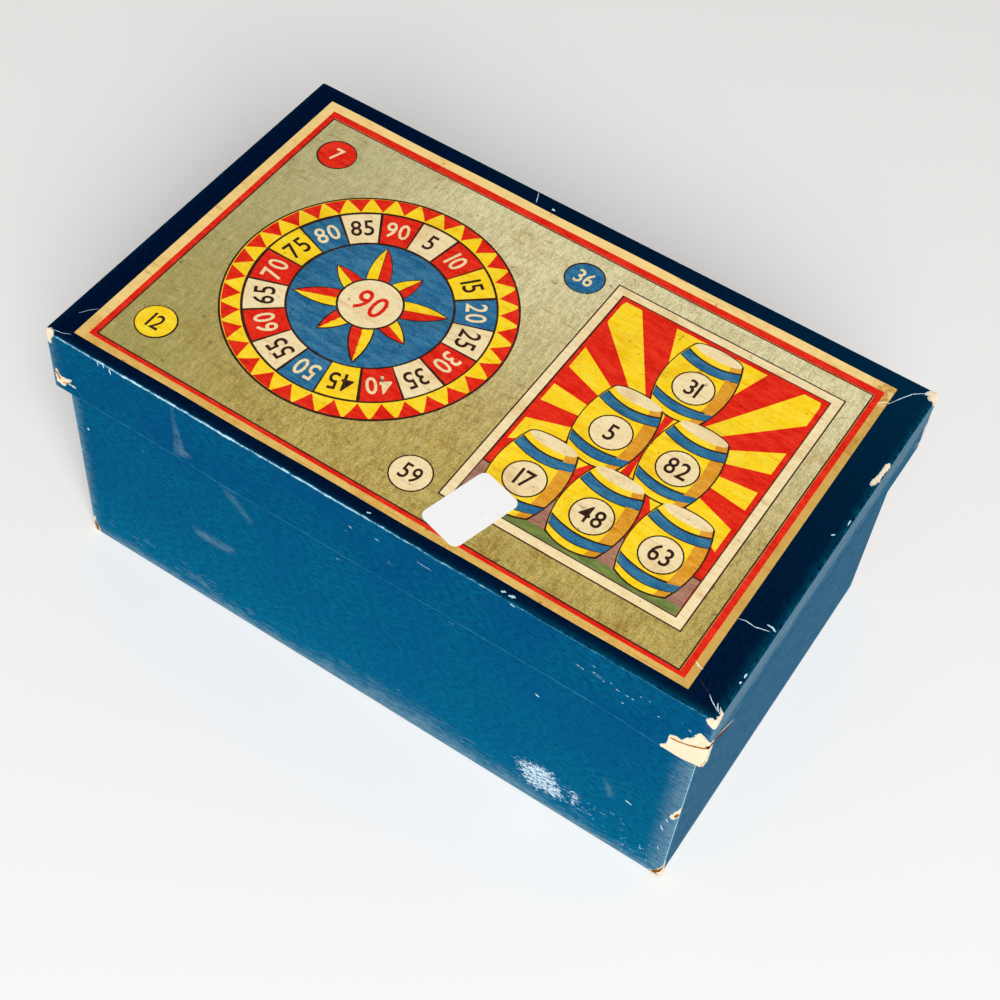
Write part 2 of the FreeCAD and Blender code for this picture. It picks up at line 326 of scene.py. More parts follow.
def inside_by(along, down, outline):
    """How far each point lies inside a closed outline, in the outline's unit and negative outside:
    the distance to the nearest side, signed by how often a ray to the right crosses the outline."""
    closed = (*outline, outline[0])
    odd = np.zeros(along.shape, bool)
    for (x0, y0), (x1, y1) in zip(closed, closed[1:]):
        crossing = x0 + (down - y0) * (x1 - x0) / ((y1 - y0) or 1.0)
        odd ^= ((y0 > down) != (y1 > down)) & (along < crossing)
    return np.where(odd, 1, -1) * off_line(along, down, closed)


def within(along, down, *outlines):
    """How far each point lies inside the nearest of several outlines."""
    return np.max([inside_by(along, down, outline) for outline in outlines], 0)


def on_lines(along, down, *lines):
    """How far each point lies inside the nearest of several lines, each with its half width."""
    return np.max([half_width - off_line(along, down, line) for half_width, line in lines], 0)


def patches(along, down, *spots):
    """Soft round patches, added up: strength times exp of minus the squared distance in half widths."""
    total = np.zeros(along.shape)
    for strength, (middle_x, middle_y), (half_x, half_y) in spots:
        total += strength * np.exp(-(((along - middle_x) / half_x) ** 2) - ((down - middle_y) / half_y) ** 2)
    return total


def soft_waves(path, turns, count, seed):
    """A slow random wave round a closed path, from -1 to 1: sines of shrinking length and random phase,
    the longest of which goes through so many turns on the way round."""
    draw = np.random.default_rng(seed)
    total = np.zeros(len(path) - 1)
    for index in range(1, count + 1):
        phase = path[:-1] / path[-1] * 2 * math.pi * turns * index + draw.uniform(0, 2 * math.pi)
        total += np.sin(phase) / index ** 0.5
    return total / np.abs(total).max()


def blue_paper_finish():
    """Blue paper with short streaks pressed along its length. The mesh stores, in millimetres, how far
    each point is inside a rubbed edge, a tear, a scuff or a line of cracking, whose dark core is painted
    shade; random grain frays those shapes.
    It also stores, from 0 to 1, where the top is navy, where the paper is paler, partly a painted sheen,
    where it is hazy with wear and painted sheen, and where it is nicked."""
    paper = Finish("blue_covering_paper", 0.55, 0.004)
    wrap = paper.add("UVMap", {}, "UV", uv_map="wrap")
    streak = paper.grain(0.55 * MM, 4.0, 0.65, (0.2, 1, 1), -16, wrap)
    brush = paper.grain(0.8 * MM, 4.0, 0.65, (0.1, 1, 1), -20, wrap)
    fray = paper.grain(1.6 * MM, 5.0, 0.7)
    fine = paper.grain(0.35 * MM, 2.0)
    faded = paper.stored("faded")

    pressed = streak.step(0.32, 0.68)
    side = pressed.mix((0, 56, 90), (0, 97, 136))
    cloud = paper.grain(26 * MM, 4.0).step(0.35, 0.7)
    side = (cloud * 0.55).mix(side, (0, 66, 115))
    side = faded.mix(side, pressed.mix((0, 85, 118), (4, 126, 160)))
    navy = streak.step(0.3, 0.75).mix((0, 6, 28), (2, 24, 56))
    calm = faded.step(0.5, 0.24)
    # On the top the paler share turns teal: a painted sheen along the folds, and paler towards the back
    # right.
    top_paling_and_sheen = faded * calm.reckon("MAXIMUM", fray.step(0.34, 0.6))
    colour = paper.stored("top").mix(side, top_paling_and_sheen.mix(navy, (0, 84, 110)))

    ragged = brush * 3.0 + fray * 1.6 - 1.3
    # Hazy wear at the foot, posts and smudges, and a painted sheen on the ends, wash the colour pale
    # grey-blue.
    wear_haze_and_sheen = (paper.stored("haze") * ragged).step(0.12, 0.88)
    colour = (wear_haze_and_sheen * 0.68).mix(colour, (108, 140, 158))
    dash = paper.grain(2.2 * MM, 2.0, 0.55, (0.25, 1.3, 1), -12, wrap) + paper.stored("nick") * 0.12
    dash = dash.step(0.75, 0.785) * fine.step(0.42, 0.6)
    colour = dash.mix(colour, (158, 198, 212))
    speckle = paper.grain(0.9 * MM, 5.0, 0.8, (0.5, 1, 1), -24, wrap)
    scuff = paper.stored("scuff").step(-4.5, 4.0) * 0.25 + speckle
    colour = scuff.step(0.7, 0.77).mix(colour, (206, 226, 238))

    frayed = (fray - 0.5) * 2.0
    rubbed = paper.stored("rub") + (frayed * 0.45 + (fine - 0.5) * 0.6)
    colour = rubbed.step(-0.45, 0.2).mix(colour, (50, 128, 158))
    colour = rubbed.step(0.05, 0.28).mix(colour, (204, 224, 232))
    bared = paper.stored("tear") + frayed
    colour = bared.step(-0.22, -0.04).mix(colour, (226, 230, 224))
    torn = bared.step(0.0, 0.15)
    colour = torn.mix(colour, fine.step(0.3, 0.75).mix((238, 208, 170), (250, 232, 208)))
    # Cracks go brown at the torn board edge, with painted shadow under a lifted lip, and dark at the core,
    # painted shade in the gap.
    crack_edge_and_shade = paper.stored("crack") + frayed * 0.35
    colour = crack_edge_and_shade.step(-0.12, 0.2).mix(colour, (158, 104, 40))
    colour = crack_edge_and_shade.step(0.3, 0.6).mix(colour, (30, 20, 16))
    return paper.done(colour, streak - torn * 2.0, 0.1 * MM)


def ribbon(line, half_width, draw):
    """A thin ribbon along a line of straight runs: points in small even steps, moved off the line to
    both sides by the half width times the root of a sine of the length, and frayed at random."""
    line = np.array(line, float)
    length = lengths(*line.T)
    run = np.linspace(0, length[-1], max(5, int(length[-1] / RIBBON_STEP)))
    middle = np.stack([np.interp(run, length, places) for places in line.T], 1)
    way = np.gradient(middle, axis=0)
    aside = np.stack([-way[:, 1], way[:, 0]], 1) / np.hypot(*way.T)[:, None]
    taper = half_width * np.sqrt(np.sin(math.pi * np.linspace(0.02, 0.98, len(run))))
    right = middle - aside * (taper * draw.uniform(*RIBBON_FRAY, len(run)))[:, None]
    left = middle + aside * (taper * draw.uniform(*RIBBON_FRAY, len(run)))[:, None]
    return np.concatenate([right, left]), grid_faces(2, len(run), False)


def frayed_lines(name, lines, material, body, seed):
    """Flecks and cracks as one piece of ribbons. A line has its half width, the axis that its face is
    square to, the face's level on that axis, and its points on the other two axes, in millimetres.
    Each ribbon lies a hair deeper than the one before, so that none that cross share a plane."""
    draw = np.random.default_rng(seed)
    outward = (1, -1, 1)
    parts = []
    for index, (half_width, axis, level, line) in enumerate(lines):
        flat, faces = ribbon(line, half_width, draw)
        sunk = FLECK_STAGGER / MM * index / len(lines)
        level = level - sunk * outward[axis] * math.copysign(1, half_width)
        parts.append((np.insert(flat, axis, level, axis=1) * MM, faces))
    new_piece(name, *joined(parts), material, body)


def on_face(axis, level, lines):
    """Lines with their half widths, laid on one face."""
    return [(half_width, axis, level, line) for half_width, line in lines]


def strewn(draw, count, face, low, high, reach, half_width, lean, crowd=1.0):
    """Short lines at random places on one face, given as its axis and level, between a low and a high
    corner: half lengths and half widths come from ranges, all lines lean alike, and a crowd above 1
    gathers them to the low edge. A negative half width faces the line to the back or the left."""
    low = np.array(low, float)
    spread = np.array(high, float) - low
    lines = []
    for _ in range(count):
        middle = low + spread * draw.uniform(size=2) ** (1.0, crowd)
        half = draw.uniform(*reach) * np.array([1.0, lean])
        lines.append((draw.uniform(*half_width), *face, (middle - half, middle + half)))
    return lines


blue_paper = blue_paper_finish()
tray_low, tray_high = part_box("tray_covering_paper")
tray_half = (tray_high.x, tray_high.y)
inset, height, depth = paper_section(tray_low.z, tray_high.z, TURN_UNDER, TRAY_BORDER, TRAY_STEP)
x, y, z, direction, path, wall_up, from_corners = wrapped(tray_half, TRAY_STEP, inset, height, depth)
front_right = from_corners[0]
to_post = np.abs(from_corners).min(0)
to_foot = np.abs(wall_up)
on_front = direction[:, 1] < -0.5
on_end = np.abs(direction[:, 0])

# The paper hangs in a little between the foot and the rim.
outside = (inset < RIM_RADIUS) & (height > tray_low.z + FOLD_RADIUS)
slack = soft_waves(path, 3, 9, 8) - 1
bulge = 0.1 * MM * slack * np.sin(np.clip(wall_up / TRAY_RISE, 0, 1) * math.pi) - FLECK_ROOM
bulge = bulge * outside[:, None]
x = x + bulge * direction[:, 0]
y = y + bulge * direction[:, 1]

# It is rubbed along the posts, most at the right front one, and along the foot, here more and there less.
slow = soft_waves(path, 6, 24, 3)
post_wear = 0.02 + 0.2 * slow + 0.36 * np.exp(-((front_right / 4) ** 2))
rub = np.maximum(post_wear - to_post, -0.12 + 0.25 * slow - to_foot)

# Tears, holes, smudges and scuffs lie by the way from the right front post and the height up the wall.
torn = within(
    front_right, wall_up,
    ((-3.4, 38.6), (-1.8, 38.2), (-0.2, 41.6), (0.5, 47), (-0.8, 45.6), (-2, 42.4)),
    ((-5, -1), (-4.2, 1.2), (-2.6, 1.6), (-1.4, 4.6), (0.6, 9), (1.2, 5), (2.0, 1.5), (1.5, -2), (-3, -3)),
    ((-235.4, -2), (-232, -2), (-231.6, 1.4), (-232.8, 4), (-233.2, 8), (-234.6, 6)),
)
# Lines of cracking; their dark cores are painted shade in the gaps.
crack = on_lines(
    front_right, wall_up,
    (0.7, ((-1.5, 40.4), (-0.7, 42.2))),
    (0.7, ((-3.2, 0.9), (-1.6, 2.6), (0.2, 5.8))),
    (1.3, ((-4, -0.6), (1.4, -0.6))),
    (0.8, ((138.4, 0.5), (139.2, 3.5))),
    (0.7, ((-232.6, 0.4), (-233.4, 4.6))),
    (0.3, ((-233.9, 20), (-233.7, 27), (-234, 36))),
    (0.26, ((-233.8, 47), (-234, 58))),
)
smudges = within(
    front_right, wall_up,
    ((-173.5, 73.5), (-168, 71.5), (-161.5, 64), (-161.5, 61.5), (-166, 64.5), (-171, 69)),
    ((-187, 40), (-178, 40.5), (-169.5, 41), (-170.5, 37), (-178, 35), (-186, 36)),
    ((-192, 10.5), (-183, 9.5), (-181, 5), (-190, 6)),
    ((-26.5, 38.5), (-23.5, 36.5), (-21.6, 30), (-24, 28.5), (-25.5, 33)),
    ((190, 57), (194, 60), (199, 59), (207, 63), (213, 61), (208, 58), (201, 56), (196, 53), (192, 54)),
    ((258, 30), (265, 31), (270, 34), (279, 33), (287, 36), (281, 31), (272, 29), (263, 28)),
    ((-299, 36), (-294, 40), (-289, 40), (-281, 45), (-277, 44), (-284, 39), (-290, 36), (-295, 34)),
)
scuffed_core = (
    (-58, 19), (-49, 23.8), (-43, 23.3), (-38.6, 15.6), (-37, 10), (-41.6, 7.6), (-52, 6.7), (-57, 16),
)
scuffed_tail = ((-39, 20), (-36.9, 21.8), (-31.4, 20), (-31.3, 15), (-33.8, 8), (-36.4, 9))
scuffed_back = ((318, 14), (326, 19), (336, 18), (342, 12), (332, 8), (322, 9))
scuffed = within(front_right, wall_up, scuffed_core, scuffed_back)
scuffed = np.maximum(scuffed, inside_by(front_right, wall_up, scuffed_tail) - 1.0)

# It goes hazy at the foot, the posts, the right of the front and the smudges; on both ends the haziness is a
# painted sheen.
worn_middle = np.exp(-(((front_right + 100) / 45) ** 2))
foot_haze = np.exp(-to_foot / (3.5 + 6 * worn_middle)) * (0.85 + 0.3 * slow) + 0.8 * np.exp(-to_foot / 1.2)
post_haze = 0.75 * np.exp(-to_post / 2.8)
front_haze = 0.85 * np.clip(1 + front_right / 10, 0, 1) * on_front * (front_right < 1)
smudged = 0.5 * np.clip(smudges / 4 + 0.55, 0, 1)
# Painted sheen: both ends are made hazier all over, for the light they reflect.
end_haze = np.broadcast_to(0.36 * on_end, x.shape)
haze = np.minimum(np.max([foot_haze, post_haze, front_haze, smudged, end_haze], 0), HAZE_LIMIT)
nicks = patches(front_right, wall_up, (0.8, (-30, 12), (30, 8)), (0.15, (-200, 50), (30, 40)))
# The front is paler towards its foot; both ends are paler again, a painted sheen.
paler_foot_and_end_sheen = 0.05 + 0.5 * np.exp(-np.clip(wall_up, 0, None) / 32) * on_front + 0.16 * on_end
tray_paper = grid_piece("tray_paper", x, y, z, True, blue_paper, "tray")
wrap_uv(tray_paper, path, depth)
store(tray_paper, rub=rub, tear=torn, scuff=scuffed, nick=nicks, crack=crack, haze=haze)
store(tray_paper, faded=paler_foot_and_end_sheen, top=np.zeros(x.shape))
stand_for("tray_covering_paper")

white_fibre = fibre_finish("white_fibre", (220, 242, 250), (176, 212, 228), (138, 182, 202))
tray_front = (1, tray_low.y / MM)
tray_back = (1, tray_high.y / MM)
tray_left = (0, tray_low.x / MM)
tray_flecks = on_face(*tray_front, (
    (0.45, ((-111.7, 61.2), (-110.8, 60.8))),
    (0.3, ((99.4, 33.9), (101.8, 33.2))),
    (0.35, ((63.4, 62.7), (65, 62.1))),
    (0.24, ((112.4, 32), (113.6, 29.6))),
    (0.24, ((113.4, 37.4), (114.5, 35.8))),
    (0.2, ((107.8, 11.5), (108.5, 10.5))),
    (0.2, ((113.4, 18.6), (114, 16.8))),
))
draw = np.random.default_rng(53)
tray_flecks += strewn(draw, 30, tray_front, (86, 2.5), (114, 22), (0.1, 0.5), (0.07, 0.16), -0.4, 1.6)
tray_flecks += strewn(draw, 34, tray_back, (-112, 2.5), (112, 76), (0.2, 1.4), (-0.2, -0.08), 0.1, 1.5)
tray_flecks += strewn(draw, 22, tray_left, (-64, 2.5), (64, 76), (0.2, 1.4), (-0.2, -0.08), 0.1, 1.5)
frayed_lines("tray_flecks", tray_flecks, white_fibre, "tray", 61)
rubbed_blue = fibre_finish("rubbed_blue", (138, 172, 190), (102, 143, 166), (86, 127, 152))
tray_streaks = strewn(draw, 420, tray_front, (-108, 1.7), (112, 15), (0.6, 3.2), (0.03, 0.1), 0.12, 3.2)
frayed_lines("tray_streaks", tray_streaks, rubbed_blue, "tray", 67)

# Tray base sheet: plain grey lining paper pasted under the floor, over the turned-under blue edge,
# rubbed and soiled by years of tables.
cover("tray_base_sheet", fibre_finish("base_lining", (176, 170, 152), (142, 134, 114), (98, 88, 70)))

# Playing cards: twenty-four sheets of pasteboard, grey pulp between cream papers, with rounded corners.
# Each is printed with three rows of nine fields: fifteen numbers and twelve blocks of one colour.
CARD_CORNER = 3 * MM
CARD_EASE = 0.3 * MM
CARD_BORDER = 6 * MM
CARD_STEP = 12 * MM
CARD_INK_ROOM = 0.1 * MM
CARD_LAYER = 0.02 * MM
CARD_RIPPLE = 0.05 * MM
CARD_MARGIN = 8.0
CARD_ROWS = 3
CARD_COLUMNS = 9
CARD_NUMBERS = 5
CARD_DIGITS = 17
CARD_DIGITS_NARROW = 0.7
CARD_LINE = 0.7
CARD_EDGE = 2.4
CARD_EDGE_OUT = 5
FIELD_GAP = 1.2
ONE_PANE = 300.0
DIGIT_GAP = 0.1
CORNERS = np.array(((-1, -1), (1, -1), (1, 1), (-1, 1)))


def aged(paper, colour):
    """The same stains over every ink and the bare paper: broad damp blotches, fine creases along the
    box where dirt has settled, and small brown spots."""
    blotch = paper.grain(11 * MM, 5.0, 0.6).step(0.5, 0.78)
    crease = paper.grain(1.5 * MM, 4.0, 0.6, (0.14, 1, 1), 4).step(0.58, 0.7)
    spot = paper.grain(2.4 * MM, 1.0).step(0.73, 0.77)
    stains = ((blotch, 0.45, (212, 172, 100)), (crease, 0.42, (206, 172, 112)), (spot, 0.5, (150, 110, 60)))
    for share, strength, stain in stains:
        colour = (share * strength).mix(colour, stain, "MULTIPLY")
    return colour


def cockled(paper):
    """Short ripples of damp paper, which every ink on it follows: narrow ridges along the box."""
    broad = paper.grain(7 * MM, 3.0, 0.5, (0.22, 1, 1), 5)
    return broad + paper.grain(2.4 * MM, 3.0, 0.6, (0.3, 1, 1), 14) * 0.35


def printed_finish(name, ripple, ink, thin, bare=0.68):
    """Ink from a litho stone on old paper: a grain of thinner and heavier ink all over, specks where the
    paper is bare, the stains of age, and the paper's ripple."""
    litho = Finish(name, 0.6, 0.12)
    fine = litho.grain(0.45 * MM, 3.0, 0.7)
    soft = litho.grain(2.2 * MM, 4.0, 0.65, (0.3, 1, 1), 12)
    colour = (fine + soft).step(0.8, 1.25).mix(ink, thin)
    heavy = litho.grain(1.1 * MM, 4.0, 0.7).step(0.5, 0.75)
    colour = (heavy * 0.3).mix(colour, (170, 130, 100), "MULTIPLY")
    speck = litho.grain(0.8 * MM, 4.0, 0.75).step(bare, bare + 0.06)
    colour = (speck * 0.6).mix(colour, (232, 206, 150))
    return litho.done(aged(litho, colour), cockled(litho), ripple)


def pasteboard_finish():
    """Cream paper faces, soiled by thumbs, round a grey pulp edge."""
    card = Finish("pasteboard", 0.7, 0.2)
    fine = card.grain(0.5 * MM, 3.0, 0.7)
    face = fine.step(0.35, 0.7).mix((226, 200, 146), (240, 220, 172))
    layers = card.grain(1.2 * MM, stretch=(1, 1, 6))
    pulp = layers.step(0.35, 0.65).mix((132, 118, 96), (176, 160, 132))
    return card.done(card.stored("face").mix(pulp, aged(card, face)), fine, 0.03 * MM)


def grid_of(rows, columns, up=(0, 1), across=(0, 1)):
    """Two numbers over a grid: v runs up its rows and u along its columns."""
    return np.meshgrid(np.linspace(*up, rows), np.linspace(*across, columns), indexing="ij")


def patch(points):
    """A grid of flat points as a mesh."""
    return points.reshape(-1, 2), grid_faces(*points.shape[:2], False)


def four_sided(corners, step):
    """A flat patch between four corners: at (u, v) their mean with the weights (1-u)(1-v), u(1-v), uv
    and (1-u)v."""
    a, b, c, d = np.array(corners, float)
    columns = max(2, int(max(np.linalg.norm(b - a), np.linalg.norm(c - d)) / step) + 1)
    rows = max(2, int(max(np.linalg.norm(d - a), np.linalg.norm(c - b)) / step) + 1)
    v, u = np.array(grid_of(rows, columns))[..., None]
    return patch(a * (1 - u) * (1 - v) + b * u * (1 - v) + c * u * v + d * (1 - u) * v)


def block(middle, half_x, half_y, step=3.0):
    """A filled rectangle."""
    return four_sided(middle + CORNERS * (half_x, half_y), step)


def frame_strips(middle, half_x, half_y, width, step=3.0, drop=0.0):
    """A frame of four strips with mitred corners, from its outer half sizes inwards. A drop of the inner
    edge makes the back strip that much wider and the front strip narrower."""
    outer = middle + CORNERS * (half_x, half_y)
    inner = middle + CORNERS * (half_x - width, half_y - width) - (0, drop)
    return [four_sided((outer[i - 1], outer[i], inner[i], inner[i - 1]), step) for i in (1, 2, 3, 0)]


def digit_shapes():
    """The ten digits of Blender's own font as flat meshes, one unit high: their points and triangles."""
    shapes = {}
    for digit in "0123456789":
        curve = bpy.data.curves.new("digit", "FONT")
        curve.body = digit
        curve.resolution_u = 3
        curve.offset = 0.012
        carrier = bpy.data.objects.new("digit", curve)
        mesh = bpy.data.meshes.new_from_object(carrier)
        mesh.calc_loop_triangles()
        points = np.empty(len(mesh.vertices) * 3)
        corners = np.empty(len(mesh.loop_triangles) * 3, int)
        mesh.vertices.foreach_get("co", points)
        mesh.loop_triangles.foreach_get("vertices", corners)
        points = points.reshape(-1, 3)[:, :2]
        points = (points - points.min(0)) / (points[:, 1].max() - points[:, 1].min())
        shapes[digit] = (points, corners.reshape(-1, 3))
        bpy.data.objects.remove(carrier)
        bpy.data.meshes.remove(mesh)
        bpy.data.curves.remove(curve)
    return shapes


def turned(across, up, degrees):
    """Flat places turned about the origin."""
    cosine = math.cos(math.radians(degrees))
    sine = math.sin(math.radians(degrees))
    return across * cosine - up * sine, across * sine + up * cosine


def numeral(text, middle, height, turn=0.0, narrow=0.82):
    """A number as one flat mesh: digits set side by side, centred on a point and turned by degrees."""
    parts = []
    reach = 0.0
    for digit in text:
        shape, corners = digits[digit]
        parts.append((shape * (narrow, 1) + (reach, 0), corners))
        reach += shape[:, 0].max() * narrow + DIGIT_GAP
    flat, faces = joined(parts)
    flat = (flat - ((reach - DIGIT_GAP) / 2, 0.5)) * height
    return np.stack(turned(*flat.T, turn), 1) + middle, np.array(faces)


def lay_ink(name, shapes, material, body):
    """One ink's printing as one piece. Each shape is flat points in metres, a height for each, and faces."""
    parts = [(np.column_stack([flat, np.broadcast_to(z, len(flat))]), faces) for flat, z, faces in shapes]
    new_piece(name, *joined(parts), material, body)


def lying(node):
    """A flat node from above: the middle and the half sizes on x and y, and its foot and its top."""
    low, high = np.array(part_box(node))
    return (low + high)[:2] / 2, (high - low)[:2] / 2, low[2], high[2]


def card_numbers(draw):
    """A card's numbers by row and column, or 0: five to a row, each column from its own ten, rising down."""
    fields = np.zeros((CARD_ROWS, CARD_COLUMNS), int)
    for row in range(CARD_ROWS):
        fields[row, draw.permutation(CARD_COLUMNS)[:CARD_NUMBERS]] = 1
    for column in range(CARD_COLUMNS):
        fields[:, column] *= np.sort(draw.permutation(10)[:CARD_ROWS]) + 1 + 10 * column
    return fields


def card_shapes(half, colour, numbers):
    """A card's printing, as inks, layers and flat shapes: a black grid in a coloured frame, with a number
    or a block of colour in each field."""
    grid = half / MM - CARD_MARGIN
    field = grid / (CARD_COLUMNS, CARD_ROWS)
    edge = grid + CARD_EDGE_OUT
    lines = frame_strips((0, 0), *grid, CARD_LINE, ONE_PANE)
    blocks = frame_strips((0, 0), *edge, CARD_EDGE, ONE_PANE)
    for line in range(1, CARD_COLUMNS):
        lines.append(block((2 * field[0] * line - grid[0], 0), CARD_LINE / 2, grid[1], ONE_PANE))
    for line in range(1, CARD_ROWS):
        lines.append(block((0, 2 * field[1] * line - grid[1]), grid[0], CARD_LINE / 2, ONE_PANE))
    for (row, column), number in np.ndenumerate(numbers):
        spot = (field[0] * (2 * column + 1) - grid[0], grid[1] - field[1] * (2 * row + 1))
        if number:
            lines.append(numeral(str(number), spot, CARD_DIGITS, narrow=CARD_DIGITS_NARROW))
        else:
            blocks.append(block(spot, *(field - FIELD_GAP), ONE_PANE))
    return [("black", 2, shape) for shape in lines] + [(colour, 1, shape) for shape in blocks]


digits = digit_shapes()
pasteboard = pasteboard_finish()
card_tones = {
    "red": ((206, 34, 22), (222, 72, 46)),
    "blue": ((26, 88, 132), (70, 126, 156)),
    "yellow": ((244, 196, 24), (246, 214, 80)),
    "black": ((38, 22, 18), (66, 44, 36), 0.7),
}
card_printing = {ink: [] for ink in card_tones}
draw = np.random.default_rng(90)
for index, name in enumerate(sorted(name for name in nodes if name.startswith("card_"))):
    middle, half, foot, top = lying(name)
    top = top - CARD_INK_ROOM
    pull, direction, _ = outline_stations(half, CARD_CORNER, CARD_STEP, 5)
    inset = np.array([half[1], CARD_BORDER, CARD_EASE, 0, 0, CARD_EASE, CARD_BORDER, half[1]])
    height = np.array([foot] * 3 + [foot + CARD_EASE, top - CARD_EASE] + [top] * 3)
    x, y = ring_points(pull, direction, half, CARD_CORNER, inset)
    z = np.repeat(height[:, None], x.shape[1], 1)
    card = grid_piece("pasteboard_" + name, x + middle[0], y + middle[1], z, True, pasteboard, "cards")
    flat_face = np.array([1, 1, 1, 0, 0, 1, 1, 1])
    store(card, face=np.repeat(flat_face, x.shape[1]))
    stand_for(name)
    colour = ("red", "yellow", "blue")[index % 3]
    for ink, layer, (flat, faces) in card_shapes(half, colour, card_numbers(draw)):
        card_printing[ink].append((flat * MM + middle, top + layer * CARD_LAYER, faces))
for ink, tones in card_tones.items():
    card_ink = printed_finish(f"card_{ink}_ink", CARD_RIPPLE, *tones)
    lay_ink("card_ink_" + ink, card_printing[ink], card_ink, "cards")

# Insert tray and dividers: grey-buff card, creased and folded to a loose tray that stands on the cards,
# with two slotted strips that cross and part it into four bays.
insert_card = fibre_finish("insert_card", (190, 176, 148), (156, 140, 112), (112, 96, 72))
for name in ("insert_tray", "long_divider", "cross_divider"):
    cover(name, insert_card)

# Number kegs: ninety small kegs turned from pale wood, swelling at the middle, with eased ends and two
# scored lines, standing on end in two layers. The upper end has its number stamped in a red ring.
KEG_SEGMENTS = 20
KEG_EASE = 0.7 * MM
KEG_SCORE = 0.22 * MM
KEG_INK_ROOM = 0.1 * MM
KEG_COLUMNS = 9
KEG_ROWS = 5
KEGS_PER_NODE = 10
KEG_PITCH = 20.6 * MM
KEG_HEIGHT = 28 * MM
KEG_RADIUS = 10 * MM
KEG_END_RADIUS = 8.2 * MM
STAMP = 6.6
STAMP_RING = 0.5
RING_STEP = 4.0


def keg_section():
    """Radius and height up one keg: flat end, eased edge, a side that swells by 1 - t squared from the
    end's radius to the belly's, with a line scored near each end, and the same again at the top."""
    t = np.array([-1, -0.82, -0.66, -0.62, -0.58, -0.3, 0, 0.3, 0.58, 0.62, 0.66, 0.82, 1])
    side = KEG_END_RADIUS + (KEG_RADIUS - KEG_END_RADIUS) * (1 - t ** 2)
    side[[3, 9]] -= KEG_SCORE
    tall = KEG_HEIGHT - KEG_INK_ROOM
    rise = KEG_EASE + (t + 1) / 2 * (tall - 2 * KEG_EASE)
    end = KEG_END_RADIUS - KEG_EASE
    return np.concatenate([[0, end], side, [end, 0]]), np.concatenate([[0, 0], rise, [tall, tall]])


def keg_wood_finish():
    """Pale close wood with its grain up the keg, each keg a little lighter or darker than the next."""
    wood = Finish("keg_wood", 0.5, 0.35)
    line = wood.grain(0.9 * MM, 4.0, 0.6, (1, 1, 0.06))
    tone = line * 0.7 + wood.stored("tone")
    colour = tone.step(0.2, 0.8).mix((232, 196, 138), (186, 136, 78))
    pore = wood.grain(0.4 * MM, 2.0, stretch=(1, 1, 0.12)).step(0.62, 0.72)
    return wood.done((pore * 0.4).mix(colour, (140, 94, 48)), line, 0.06 * MM)


def around(middle, r, degrees):
    """Places at a distance r from the middle, at an angle from +x: middle + r (cos a, sin a)."""
    a = np.radians(degrees)
    return np.stack([middle[0] + r * np.cos(a), middle[1] + r * np.sin(a)], -1)


def ring_part(middle, inner, outer, start=0.0, end=360.0, step=1.6):
    """Part of a flat ring, with r from inner to outer and the angle from start to end in degrees."""
    columns = max(3, int(math.radians(end - start) * outer / step) + 1)
    rows = max(2, int((outer - inner) / RING_STEP) + 2)
    return patch(around(middle, *grid_of(rows, columns, (outer, inner), (start, end))))


keg_wood = keg_wood_finish()
keg_ink = printed_finish("keg_red_ink", 0.02 * MM, (178, 32, 22), (200, 70, 48), 0.7)
radius, rise = keg_section()
angle = np.linspace(0, 2 * math.pi, KEG_SEGMENTS, endpoint=False)
keg_x = np.outer(radius, np.cos(angle))
keg_y = np.outer(radius, np.sin(angle))
keg_z = np.repeat(rise[:, None], KEG_SEGMENTS, 1)
one_keg = np.stack([keg_x, keg_y, keg_z], -1).reshape(-1, 3)
keg_faces = grid_faces(*keg_z.shape, True)
draw = np.random.default_rng(27)
keg_printing = []
stamped_ring = ring_part((0, 0), STAMP - STAMP_RING, STAMP)
first_low, first_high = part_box("kegs_01_to_10")
first = np.array([first_low.x + KEG_RADIUS, first_high.y - KEG_RADIUS, first_low.z])
for group, name in enumerate(sorted(name for name in nodes if name.startswith("kegs_"))):
    parts = []
    tones = []
    for place in range(KEGS_PER_NODE * group, KEGS_PER_NODE * (group + 1)):
        layer, place_in_layer = divmod(place, KEG_COLUMNS * KEG_ROWS)
        row, column = divmod(place_in_layer, KEG_COLUMNS)
        foot = first + np.array([KEG_PITCH * column, -KEG_PITCH * row, KEG_HEIGHT * layer])
        parts.append((one_keg + foot, keg_faces))
        tones.append(np.full(len(one_keg), draw.uniform(-0.1, 0.3)))
        turn = draw.uniform(-40, 40)
        top = foot[2] + KEG_HEIGHT - KEG_INK_ROOM + CARD_LAYER
        for flat, faces in (numeral(str(place + 1), (0, 0), STAMP, turn), stamped_ring):
            keg_printing.append((flat * MM + foot[:2], top, faces))
    kegs = new_piece("turned_" + name, *joined(parts), keg_wood, "insert")
    store(kegs, tone=tones)
    stand_for(name)
lay_ink("keg_numbers", keg_printing, keg_ink, "insert")

# Cover counters: small squares cut from card that is dyed red, yellow or blue right through,
# laid in loose stacks of a dozen in the two narrow bays.
counter_tones = {
    "red": ((196, 44, 30), (160, 26, 20)),
    "yellow": ((238, 190, 52), (206, 150, 26)),
    "blue": ((44, 104, 148), (24, 72, 112)),
}
for colour, tones in counter_tones.items():
    name = "counters_" + colour
    cover(name, fibre_finish("dyed_" + name, *tones, (60, 44, 34), 0.7))

# Draw bag: a bag of unbleached linen that the kegs are drawn from, pressed flat, folded back and forth
# and stood on edge in its long bay.
BAG_LAYERS = 8
BAG_COLUMNS = 70
BAG_RUN_POINTS = 14
BAG_BEND_POINTS = 8
BAG_CLOTH = 0.7 * MM
BAG_ROOM = 1 * MM
BAG_FOLD_ROOM = 2 * MM
BAG_THREAD = 0.7 * MM


